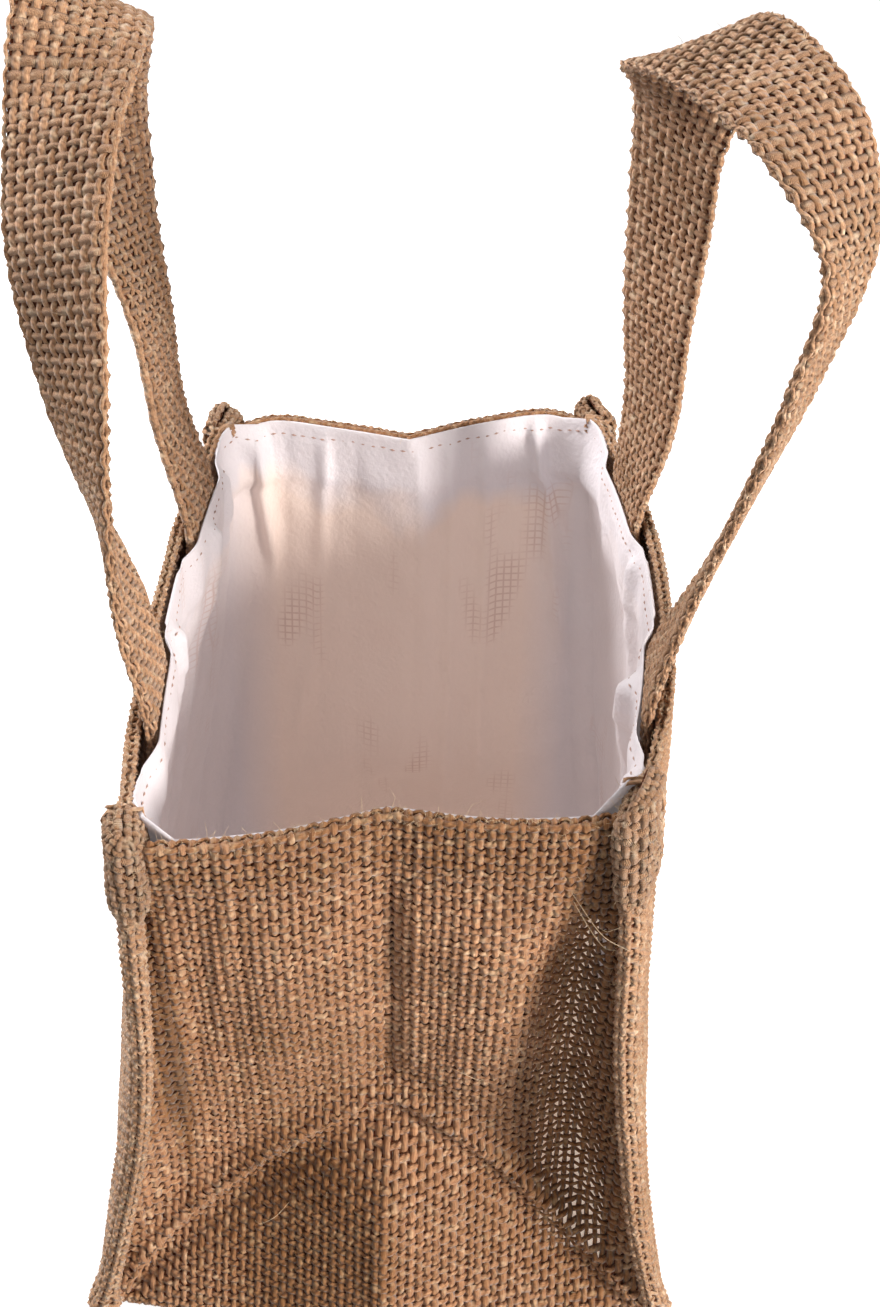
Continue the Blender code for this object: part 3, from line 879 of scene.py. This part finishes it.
def add_wall(side, name, materials, seed):
    surface = wall_cloth(side)
    picks = lines_between(1.0, BAG_HEIGHT + RIM_TURN + 2, PICK_PITCH)
    mesh = woven_mesh(surface, wall_columns(), picks, wall_keep, PLAIN_LOOK, seed)
    woven = add_weave(name + "_yarns", [mesh], materials["wall"])
    grid = np.linspace(-WALL_CLOTH / 2, WALL_CLOTH / 2, 130), np.linspace(1.0, BAG_HEIGHT, 60)
    ground = ground_sheet(name + "_ground", behind(surface, 0.2), grid, wall_keep, materials["ground"],
                          (name,))
    return ground, woven


def knot_cloth(side, end, tilt):
    """The knot's outermost layer: w runs round the end of the wall, v up its faces and over its top."""

    def surface(w, v):
        angle = np.clip(w / KNOT_TURN, -1, 1) * math.pi / 2
        back = np.maximum(np.abs(w) - KNOT_TURN, 0)
        over = np.clip((v - KNOT_RIM) / KNOT_TOP_TURN, 0, 1) * math.pi / 2
        shrink = np.cos(over)
        grow = lerp(0.62, 1.0, smooth(v, 0.0, 7.0))
        lumps = 0.35 * np.sin(w / 1.9 + 1.7 * side) * np.sin(v / 3.1 + end) - 0.5 * bump(w - 1.2 * side, 1.0)
        offset = (KNOT_HALF * grow + lumps) * np.sin(angle) * shrink
        nose = (KNOT_NOSE + lumps) * np.cos(angle) * lerp(0.35, 1.0, shrink)
        height = KNOT_BOTTOM + np.minimum(v, KNOT_RIM) + KNOT_DOME * np.sin(over)
        height = height + tilt * np.sin(angle) * ramp(v, 0, KNOT_RIM)
        height = height + 0.4 * np.sin(w / 2.6 + side) * ramp(v, 6, KNOT_RIM)
        return wall_point(side, end * (HALF_WALL - KNOT_NOSE - back + nose), height, -offset)

    return flip(surface) if side * end > 0 else surface


def add_knots(materials):
    """The four top corners, where the seam fold and the hem fold make a thick soft knot."""
    meshes, grounds = [], []
    corners = ((LEFT, FRONT, 0.3), (RIGHT, FRONT, 2.2), (LEFT, BACK, 0.8), (RIGHT, BACK, 0.8))
    columns = lines_between(-KNOT_SPREAD, KNOT_SPREAD, KNOT_PITCH)
    picks = lines_between(0, KNOT_TOP, KNOT_PICK_PITCH)
    grid = np.linspace(-KNOT_SPREAD, KNOT_SPREAD, 24), np.linspace(0, KNOT_TOP, 16)
    for k, corner in enumerate(corners):
        surface = knot_cloth(*corner)
        meshes.append(woven_mesh(surface, columns, picks, everywhere, KNOT_LOOK, 40 + k))
        grounds.append(ground_sheet(f"knot_{k}_ground", behind(surface, 0.35), grid, everywhere,
                                    materials["ground"]))
    return add_weave("corner_knots_yarns", meshes, materials["wall"]), grounds


# Lining


HEM_FACE = 1.9
LINING_CORNER = 4.0


def near_feet(side, along, height):
    """1 beside a handle's foot and 0 away from it."""
    place = along + wall_shift(side, height)
    return np.max([1 - smooth(np.abs(place - foot), STRAP_WIDTH / 2, STRAP_WIDTH) for foot in FEET[side]], 0)


def lining_inset(side, along, height):
    """How far inside the wall's middle surface the lining hangs; it passes inside the handles' feet."""
    reach = np.abs(along)
    near_rim = smooth(height, HEM_BOTTOM, BAG_HEIGHT - 4)
    plain = lerp(2.8, wall_half_thickness(SEAM_PLANE, height) + 1.3, ramp(reach, 60, 78))
    plain = lerp(plain, HEM_FACE + 0.4 + 2.6 * smooth(reach, 78, 88), near_rim)
    over_foot = (HEM_THICKNESS + LINING_THICKNESS) / 2 + STRAP_THICKNESS + 1.5
    level = smooth(height, BAG_HEIGHT - FOOT_DEPTH - 22, BAG_HEIGHT - FOOT_DEPTH - 3)
    eased = 0.4 * (1 - smooth(reach, 58, 80))
    held_off = np.maximum(near_feet(side, along, height), eased)
    return np.maximum(plain, lerp(plain, over_foot, held_off * level))


# The lining's creases on each side of the bag: where each begins and ends (place along that side from
# 0 to 1, and height), how wide it is, and how far it stands into the bag; negative falls back.
Crease = namedtuple("Crease", "top_place top low_place low width depth")
LINING_CREASES = {
    "back": (
        (0.05, 184, 0.11, 140, 2.2, 4.2), (0.13, 184, 0.15, 128, 2.0, -0.5),
        (0.50, 184, 0.51, 60, 2.0, -0.6), (0.53, 175, 0.56, 90, 3.0, 1.2),
        (0.25, 150, 0.22, 80, 2.4, 1.6), (0.72, 168, 0.70, 60, 2.6, 1.8),
        (0.87, 184, 0.93, 110, 2.2, 4.2), (0.95, 184, 0.97, 140, 2.0, -0.5),
        (0.34, 120, 0.40, 30, 3.0, -0.5), (0.62, 110, 0.60, 20, 2.4, 1.7),
    ),
    "left": (
        (0.72, 184, 0.60, 60, 2.6, 3.4), (0.88, 178, 0.80, 90, 2.4, 3.0),
        (0.93, 184, 0.94, 100, 2.2, -0.5), (0.45, 160, 0.36, 40, 2.8, 3.0),
        (0.25, 176, 0.28, 60, 3.4, -0.5), (0.55, 120, 0.66, 30, 3.0, -0.5),
    ),
    "right": (
        (0.10, 184, 0.16, 70, 2.4, 3.2), (0.30, 184, 0.34, 50, 3.2, 5.4),
        (0.42, 184, 0.45, 70, 3.0, -0.6), (0.60, 176, 0.50, 50, 2.6, 3.6),
        (0.80, 180, 0.72, 90, 3.0, -0.5),
    ),
    "front": (
        (0.5, 180, 0.5, 60, 3.0, 1.4), (0.25, 170, 0.2, 40, 4.0, 1.2),
        (0.75, 170, 0.8, 40, 4.0, 1.2),
    ),
}


def lining_crease(name, place, length, height):
    """How far the creases of one side push the lining into the bag at a height."""
    depth = 0.0
    for row in LINING_CREASES[name]:
        crease = Crease(*row)
        down = ramp(crease.top - height, 0, crease.top - crease.low)
        at = lerp(crease.top_place, crease.low_place, down)
        fade = 1 - smooth(crease.low - height, -12, 16)
        depth = depth + crease.depth * fade * bump((place - at) * length, crease.width)
    # The hem's lower edge shows through as a step, and small wrinkles run below it
    depth = depth + 1.1 * smooth(height, HEM_BOTTOM - 2.5, HEM_BOTTOM + 0.5)
    wrinkle = np.sin(place * length / 3.9 + 5 * np.sin(height / 23)) * np.sin(height / 8.3 + place * 9)
    depth = depth + 0.3 * wrinkle + 0.35 * np.sin(place * length / 8.0 - height / 13.0)
    return depth * smooth(height, 12, 30) * (1 - smooth(height, BAG_HEIGHT - 7, BAG_HEIGHT - 1))


def lining_ring(height, per_wall, per_gusset, outward=0.0):
    """One level of the lining from the front of the left wall; outward moves it towards the jute."""
    clear = lerp(4.0, HEM_FACE + 0.5, smooth(height, HEM_BOTTOM, BAG_HEIGHT - 4))
    ring = []
    for side, first, span in ((LEFT, FRONT, (0.05, 0.95)), (RIGHT, BACK, (0.95, 0.05))):
        front, back = (
            gusset_point(end, np.array(span[0]), np.array(height), clear)[1] - wall_shift(side, height)
            for end in (FRONT, BACK)
        )
        start, stop = (front, back) if first == FRONT else (back, front)
        along = np.linspace(start - first * LINING_CORNER, stop + first * LINING_CORNER, per_wall)
        level = np.full_like(along, height)
        pushed = lining_crease(SIDE_NAMES[side], (along - front) / (back - front), INSIDE_LENGTH, level)
        beside_foot = near_feet(side, along, level) > 0.02
        held = np.where(beside_foot, np.minimum(outward, 0.5), outward)
        ring.append(wall_point(side, along, level, lining_inset(side, along, level) + pushed - held))
        places = np.linspace(*span, per_gusset + 1)
        level = np.full_like(places, height)
        pushed = lining_crease("back" if first == FRONT else "front", places, GUSSET_WIDTH, level)
        if first == BACK:
            # Behind the front gusset's fold the lining hangs a little further in
            pushed = pushed + 3.4 * smooth(height, 84, 70) * np.sin(math.pi * places)
        ring.append(gusset_point(-first, places, level, clear + pushed - outward))
    return np.concatenate(ring)


def add_lining(materials):
    """The lining: a loose bag inside the jute, its top edge turned out to the hem and stitched there."""
    around = (112, 86)
    top, floor_height = BAG_HEIGHT - 0.4, CLOTH_THICKNESS + 1.4
    edge = ((2.4, 1.1), (0.7, 1.2), (0.1, 0.7), (0.0, 0.3))
    rows = [lining_ring(top - drop, *around, outward) for drop, outward in edge]
    rows += [lining_ring(height, *around) for height in np.linspace(top - 0.3, 13, 100)]
    centre = np.array((0, 0, floor_height))
    for height, share in ((9.0, 0.01), (6.0, 0.03), (4.0, 0.06), (3.2, 0.09), (floor_height, 0.12)):
        ring = lerp(lining_ring(FOLD_FOOT, *around), centre, share)
        ring[:, 2] = height
        rows.append(ring)
    rows += [lerp(centre, rows[-1], share) for share in (0.8, 0.6, 0.4, 0.2)]
    count = len(ring)
    vertices = np.concatenate([*rows, centre[None]])
    faces = grid_faces(len(rows), count, wrap=True)
    last = (len(rows) - 1) * count
    faces += [(last + j, last + (j + 1) % count, len(vertices) - 1) for j in range(count)]
    return add_mesh("lining_cloth", vertices, faces, materials["lining"], ("lining",))


# Stitches and loose fibres


# How far apart stitches are, and a stitch's length, width and thickness where it shows
LINING_STITCH_PITCH = 3.1
LINING_STITCH = (1.9, 0.75, 0.6)
HEM_STITCH_PITCH = 3.4
HEM_STITCH = (2.2, 0.6, 0.6)


def lozenges(middles, runs, normals, length, width, thickness):
    """Short pointed threads, one at each middle. Vertices and faces."""
    runs, normals = unit(runs), unit(normals)
    sides = unit(np.cross(runs, normals))
    ring = [runs * length / 2, sides * width / 2, normals * thickness / 2, -sides * width / 2,
            -normals * thickness / 2, -runs * length / 2]
    vertices = np.stack([middles + r for r in ring], 1)
    index = np.arange(len(middles))[:, None] * 6
    faces = []
    for k in range(4):
        a, b = 1 + k, 1 + (k + 1) % 4
        faces += [index + (0, b, a), index + (5, a, b)]
    return vertices.reshape(-1, 3), np.concatenate(faces)


def add_stitches(materials):
    """The row of thread that holds the lining to the hem, just below the rim all round."""
    ring = lining_ring(BAG_HEIGHT - 4.2, 260, 200)
    steps = np.linalg.norm(np.diff(ring, axis=0), axis=1)
    lengths = np.concatenate([[0], np.cumsum(steps)])
    at = np.arange(1.5, lengths[-1], LINING_STITCH_PITCH)
    middles = np.stack([np.interp(at, lengths, ring[:, k]) for k in range(3)], 1)
    runs = np.gradient(middles, axis=0)
    inward = unit(np.cross(runs, (0, 0, 1.0)))
    rng = np.random.default_rng(61)
    middles = middles - inward * 0.05 + rng.normal(0, 0.12, middles.shape)
    # The thread doesn't climb from one side's rim to the next at the corners
    level = np.abs(unit(runs)[:, 2]) < 0.4
    vertices, faces = lozenges(middles[level], runs[level], inward[level], *LINING_STITCH)
    return add_mesh("lining_stitches", vertices, faces.tolist(), materials["thread"],
                    smooth_faces=False)


def add_hem_stitches(materials):
    """The hem's own row of thread across both gussets."""
    rng = np.random.default_rng(62)
    rows = []
    for end in (FRONT, BACK):
        surface = gusset_cloth(end)
        x = np.arange(-54, 50, HEM_STITCH_PITCH)
        x = x + rng.normal(0, 0.2, len(x))
        v = HEM_BOTTOM + 1.6 + 0.3 * np.sin(x / 6)
        normals = -end * normals_of(surface, x, v)
        runs = surface(x + 0.5, v + 0.06 * np.sin(x)) - surface(x - 0.5, v)
        rows.append(lozenges(surface(x, v) + normals * 0.75, runs, normals, *HEM_STITCH))
    vertices, faces = merged(rows)
    return add_mesh("hem_stitches", vertices, faces.tolist(), materials["thread_brown"],
                    smooth_faces=False)


FIBRE_RADIUS = 0.055
LONG_RADIUS = 0.09
# Long ends that have worked loose: two bridge the gap beside the right seam, two stand off the front
LONG_ENDS = (
    ((42, -81, 163), (46, -91, 163.5), (51, -98, 161), (57, -99.5, 158)),
    ((43, -80, 161), (46, -88, 159), (51, -97, 157), (54, -100, 158.5)),
    ((-24, -84, 40), (-27, -90, 42), (-31, -91, 40), (-33, -88, 37)),
    ((18, -82, 95), (21, -85, 97), (25, -85.5, 95), (27, -83, 92)),
)


def fibre_mesh(starts, normals, rng, length):
    """Fine three-sided hairs that leave a surface and bend over. Vertices and faces."""
    count = len(starts)
    lengths = length * np.exp(rng.normal(-0.1, 0.45, (count, 1)))
    lean = unit(normals + rng.normal(0, 0.75, (count, 3)))
    turn = unit(lean + rng.normal(0, 0.9, (count, 3)))
    path = np.stack([starts - normals * 0.3, starts + lean * lengths * 0.5,
                     starts + (lean * 0.5 + turn * 0.5) * lengths], 1)
    side = unit(np.cross(lean, rng.normal(0, 1, (count, 3))))
    other = np.cross(lean, side)
    ring = [side, -0.5 * side + 0.87 * other, -0.5 * side - 0.87 * other]
    sizes = np.array((1.0, 0.8, 0.3))[None, :, None] * FIBRE_RADIUS
    vertices = np.stack([path + r[:, None] * sizes for r in ring], 2).reshape(count, 9, 3)
    index = np.arange(count)[:, None] * 9
    faces = []
    for level in (0, 3):
        for k in range(3):
            m = (k + 1) % 3
            faces.append(index + (level + k, level + m, level + 3 + m, level + 3 + k))
    return vertices.reshape(-1, 3), np.concatenate(faces)


def hair_mesh(stops):
    """One long three-sided hair through its stops. Vertices and faces."""
    at = np.linspace(0, len(stops) - 1, 14)
    path = np.stack([spline(np.arange(len(stops)), places, at) for places in np.transpose(stops)], 1)
    run = unit(np.gradient(path, axis=0))
    side = unit(np.cross(run, (0.2, 0.3, 1.0)))
    other = np.cross(run, side)
    ring = np.stack([path + side * LONG_RADIUS, path + (other - side) * LONG_RADIUS * 0.7,
                     path - (other + side) * LONG_RADIUS * 0.7], 1)
    index = np.arange(len(at) - 1)[:, None] * 3
    faces = [index + (k, (k + 1) % 3, 3 + (k + 1) % 3, 3 + k) for k in range(3)]
    return ring.reshape(-1, 3), np.concatenate(faces)


def scatter(surface, rng, count, u_range, v_range):
    """Random places on a surface and the normals there."""
    u, v = rng.uniform(*u_range, count), rng.uniform(*v_range, count)
    return surface(u, v), normals_of(surface, u, v)


def add_fuzz(straps, materials):
    """Loose jute hairs, thickest along rims, knots and strap edges."""
    front, back = gusset_cloth(FRONT), flip(gusset_cloth(BACK))
    # The cloth, how many hairs, where on it they grow, and their length
    patches = [
        (front, 700, (-60, 62), (8, 184), 2.2), (front, 420, (-52, 50), (183, 187), 2.2),
        (back, 300, (-60, 60), (8, 184), 2.0), (back, 300, (-50, 50), (183, 187), 1.8),
    ]
    for side in (LEFT, RIGHT):
        wall = wall_cloth(side)
        patches += [(wall, 450, (-94, 94), (4, 183), 2.0), (wall, 260, (-82, 82), (183, 187), 2.0)]
        for end in (FRONT, BACK):
            patches.append((wall, 320, sorted((end * 92, end * 101)), (3, 172), 2.0))
            knot = knot_cloth(side, end, 1.0)
            patches.append((knot, 160, (-KNOT_SPREAD, KNOT_SPREAD), (2, KNOT_TOP), 2.4))
    for cloth, girth, length in straps:
        free = (FOOT_DEPTH + 2, length - FOOT_DEPTH - 2)
        patches.append((cloth, 520, (0, girth), free, 1.9))
        for edge in (girth * 0.27, girth * 0.73):
            patches.append((cloth, 260, (edge - 2.5, edge + 2.5), free, 2.0))
    rng = np.random.default_rng(71)
    spots = [(*scatter(cloth, rng, *where), length) for cloth, *where, length in patches]
    hairs = [fibre_mesh(starts, normals, rng, length) for starts, normals, length in spots]
    vertices, faces = merged(hairs + [hair_mesh(stops) for stops in LONG_ENDS])
    return add_mesh("loose_fibres", vertices, faces.tolist(), materials["fibre"])


# Handles


STRAP_PITCH = 2.75
STRAP_PICK_PITCH = 2.7
LAYER = 0.78
# Half the strap's section, from the groove between its two turned-in edges round to the folded edge:
# shares of the half width, and heights in millimetres.
STRAP_OUTLINE = (
    (-0.5, 0.28), (-0.98, 0.3), (-1.0, 0.62), (-0.965, LAYER), (-0.9, LAYER + 0.05), (0.0, LAYER),
    (0.93, LAYER), (0.985, 0.5), (1.0, 0.0),
)


def strap_line(side, rows):
    """The strap's middle line and its width directions at any length along it."""
    inset = HEM_THICKNESS / 2 + STRAP_THICKNESS / 2 + 1.0

    def tucked(foot, turned):
        """A foot's stops between wall and lining, from its end up to the rim."""
        stops = []
        for depth in (FOOT_DEPTH, FOOT_DEPTH / 2, -2.0):
            height = min(BAG_HEIGHT - depth, BAG_HEIGHT)
            along = foot - wall_shift(side, height)
            place = wall_point(side, along, height, inset)
            slope = float(wall_out(side, along + 1, height) - wall_out(side, along - 1, height))
            lean = math.degrees(math.atan(slope / 2))
            stops.append((side * place[0], place[1], -depth, turned + lean, 0.0))
        return stops

    front_foot, back_foot = FEET[side]
    stops = np.array([*tucked(front_foot, 0), *rows, *tucked(back_foot, 180)[::-1]], float)
    steps = np.linalg.norm(np.diff(stops[:, :3], axis=0), axis=1)
    knots = np.concatenate([[0], np.cumsum(steps)])

    def station(at):
        out, along, above, turn, tip = (spline(knots, values, at) for values in stops.T)
        turn, tip = np.radians(turn), np.radians(tip)
        level = np.cos(tip)
        width = points(side * np.sin(turn) * level, np.cos(turn) * level, np.sin(tip))
        return points(side * out, along, BAG_HEIGHT + above), width

    return station, knots[-1]


def strap_cloth(side, rows):
    """The strap's cloth as a surface of length round its section and length along it, and both lengths."""
    station, length = strap_line(side, rows)
    half_width = STRAP_WIDTH / 2 - 0.7
    upper = np.array([(a * half_width, b) for a, b in STRAP_OUTLINE])
    outline = np.concatenate([upper, (upper * (1, -1))[::-1][1:]])
    marks = np.concatenate([[0], np.cumsum(np.linalg.norm(np.diff(outline, axis=0), axis=1))])

    def surface(w, at):
        place, width = station(at)
        run = unit(station(at + 1.5)[0] - station(at - 1.5)[0])
        width = unit(width - run * (width * run).sum(-1, keepdims=True))
        face = np.cross(run, width)
        a, b = (np.interp(marks[-1] - w, marks, values)[..., None] for values in outline.T)
        return place + width * a + face * b

    return surface, marks[-1], length


def add_handle(side, name, rows, materials, seed):
    """A handle's core and yarns, and its cloth with its lengths round and along."""
    cloth, girth, length = strap_cloth(side, rows)
    columns, picks = lines_between(0, girth, STRAP_PITCH), lines_between(0, length, STRAP_PICK_PITCH)
    mesh = woven_mesh(cloth, columns, picks, everywhere, STRAP_LOOK, seed)
    woven = add_weave(name + "_yarns", [mesh], materials["strap"])
    grid = np.linspace(0, girth, 44), np.linspace(0, length, 150)
    core = ground_sheet(name + "_core", behind(cloth, 0.3), grid, everywhere, materials["ground"],
                        (name,))
    return core, woven, (cloth, girth, length)


# Base


def add_base(materials):
    """The base: the gusset cloth's middle stretch, flat on the floor."""
    places = np.linspace(0, 1, 30)
    foot = np.full(30, FOLD_FOOT)
    front, back = (gusset_point(end, places, foot, inset=8.0) for end in (FRONT, BACK))
    vertices = np.concatenate([lerp(front, back, t) for t in np.linspace(0, 1, 40)])
    vertices[:, 2] = 0.7
    # The base has no yarns and takes the dark ground colour, which is painted shade
    return add_mesh("base_cloth", vertices, grid_faces(40, 30), materials["ground"],
                    ("gusset_strip",))


# Camera, light and floor, with their places in metres


def aim(position, forward, roll):
    """A camera or light matrix at a place, looking along a direction, with its top tipped by roll."""
    forward = Vector(forward).normalized()
    right = forward.cross(Vector((0, 0, 1))).normalized()
    up = right.cross(forward)
    side = right * math.cos(roll) + up * math.sin(roll)
    top = -right * math.sin(roll) + up * math.cos(roll)
    turned = Matrix((side, top, -forward)).transposed()
    return Matrix.Translation(Vector(position)) @ turned.to_4x4()


def add_camera():
    lens = bpy.data.cameras.new("camera")
    lens.sensor_fit = "VERTICAL"
    lens.sensor_height = 36.0
    lens.lens = 48.2
    lens.clip_start = 0.01
    pitch, roll = math.radians(37.3), math.radians(1.5)
    camera = place_in_scene("camera", lens)
    camera.matrix_world = aim((0.00586, -0.36715, 0.447), (0, math.cos(pitch), -math.sin(pitch)), roll)
    bpy.context.scene.camera = camera


def add_area(name, place, target, size, power, colour=(1, 1, 1)):
    lamp = bpy.data.lights.new(name, "AREA")
    lamp.shape = "DISK"
    lamp.size = size
    lamp.energy = power
    lamp.color = colour
    place_in_scene(name, lamp).matrix_world = aim(place, Vector(target) - Vector(place), 0)


def add_studio():
    """A white sweep: the key from the right front, a fill from the left behind, a little from elsewhere."""
    world = bpy.data.worlds.new("studio")
    bpy.context.scene.world = world
    world.use_nodes = True
    add = partial(node, world.node_tree)
    way = add("TexCoord").outputs["Generated"]
    lean = add("VectorMath", {0: way, 1: (0.62, -0.5, -0.15)}, operation="DOT_PRODUCT").outputs["Value"]
    bright = add("MapRange", {0: lean, 1: -0.7, 2: 0.8, 3: 0.1, 4: 0.36})
    seen = add("LightPath").outputs["Is Camera Ray"]
    level = add("Mix", {0: seen, 2: bright, 3: 1.0}, data_type="FLOAT")
    feed(world.node_tree.nodes["Background"], {"Strength": level, "Color": (1, 1, 1, 1)})
    material, surface, _ = new_material("matt_white_floor", 0.9)
    white = (1, 1, 1, 1)
    feed(surface, {"Base Color": (0.85, 0.85, 0.85, 1), "Emission Color": white, "Emission Strength": 0.55})
    mesh = bpy.data.meshes.new("floor")
    mesh.from_pydata([(-6, -6, 0), (6, -6, 0), (6, 6, 0), (-6, 6, 0)], [], [(0, 1, 2, 3)])
    mesh.materials.append(material)
    floor = place_in_scene("floor", mesh)
    floor.visible_diffuse = False
    add_area("key_right", (0.98, -0.64, 0.52), (0, 0, 0.1), 0.35, 21.0, (1.0, 0.98, 0.95))
    add_area("front_low", (0.0, -1.0, 0.2), (0, 0, 0.1), 0.6, 2.0)
    add_area("fill_left", (-0.75, 0.45, 0.7), (0, 0, 0.18), 0.5, 16.0, (0.97, 0.98, 1.0))
    add_area("overhead", (-0.2, 0.1, 1.1), (0, 0.02, 0.1), 0.6, 3.0)
    bpy.context.scene.view_settings.view_transform = "Standard"


JUTE = ("#E0C19C", "#BC8D65", "#7B4A2C")
# The walls and handles take the same jute painted paler: painted light, as more light falls on them than on
# the gussets.
JUTE_PAINTED_LIGHTER = ("#EAD3B4", "#C99F79", "#8A5B3C")
# Painted light and shade over the front gusset: painted shade in the hollow below the left half of the
# fold's arc, in its upper left, low on the right and beside both seams, where the right seam's ridge casts
# its shadow; a painted highlight right of the middle; and a little darker along the hem. Middle and reach
# in metres, and how light the cloth is there.
GUSSET_PAINTED_SHADING = (
    ((-0.027, -0.09, 0.034), (0.028, 0.05, 0.032), 0.64),
    ((-0.045, -0.08, 0.1), (0.02, 0.05, 0.035), 0.88),
    ((0.051, -0.085, 0.105), (0.017, 0.05, 0.115), 0.58),
    ((-0.0585, -0.086, 0.11), (0.0036, 0.05, 0.075), 0.5),
    ((0.03, -0.085, 0.035), (0.02, 0.05, 0.03), 0.85),
    ((0.014, -0.085, 0.12), (0.022, 0.05, 0.05), 1.12),
    ((-0.007, -0.09, 0.178), (0.07, 0.04, 0.012), 0.9),
)


def main():
    materials = {
        "gusset": jute_yarn("spun_jute_gusset", *JUTE, 150, GUSSET_PAINTED_SHADING),
        "wall": jute_yarn("spun_jute_wall", *JUTE_PAINTED_LIGHTER, 190),
        "strap": jute_yarn("spun_jute_strap", *JUTE_PAINTED_LIGHTER, 400),
        "ground": jute_fuzz_and_shade("jute_fuzz_and_painted_shade", "#754225", "#431E10"),
        "lining": coated_lining("coated_nonwoven_lining", "#CEC6C8", "#DECABE", 0.15),
        # The lining behind the front gusset's loose yarns: paler and glowing, painted light from inside the
        # bag
        "lining_glow": coated_lining("lit_nonwoven_lining", "#EFDCCB", "#E0C0A8", 0.5),
        "thread": twisted_thread("lining_thread", "#C9A99C", "#8E6A5C"),
        "thread_brown": twisted_thread("hem_thread", "#8A6548", "#5A3A26"),
        "fibre": twisted_thread("jute_hair", "#E8D2B0", "#B8946C"),
    }
    add_camera()
    base = add_base(materials)
    front, front_yarns, seen_lining = add_gusset(FRONT, "front_gusset", FRONT_LOOK, materials, 11)
    back, back_yarns, _ = add_gusset(BACK, "back_gusset", PLAIN_LOOK, materials, 12)
    left, left_yarns = add_wall(LEFT, "wall_left", materials, 21)
    right, right_yarns = add_wall(RIGHT, "wall_right", materials, 22)
    knots, knot_grounds = add_knots(materials)
    lining = add_lining(materials)
    lining_thread = add_stitches(materials)
    hem_thread = add_hem_stitches(materials)
    handles = [
        add_handle(LEFT, "handle_left", LEFT_STRAP, materials, 31),
        add_handle(RIGHT, "handle_right", RIGHT_STRAP, materials, 32),
    ]
    fuzz = add_fuzz([strap for _, _, strap in handles], materials)
    add_studio()


main()
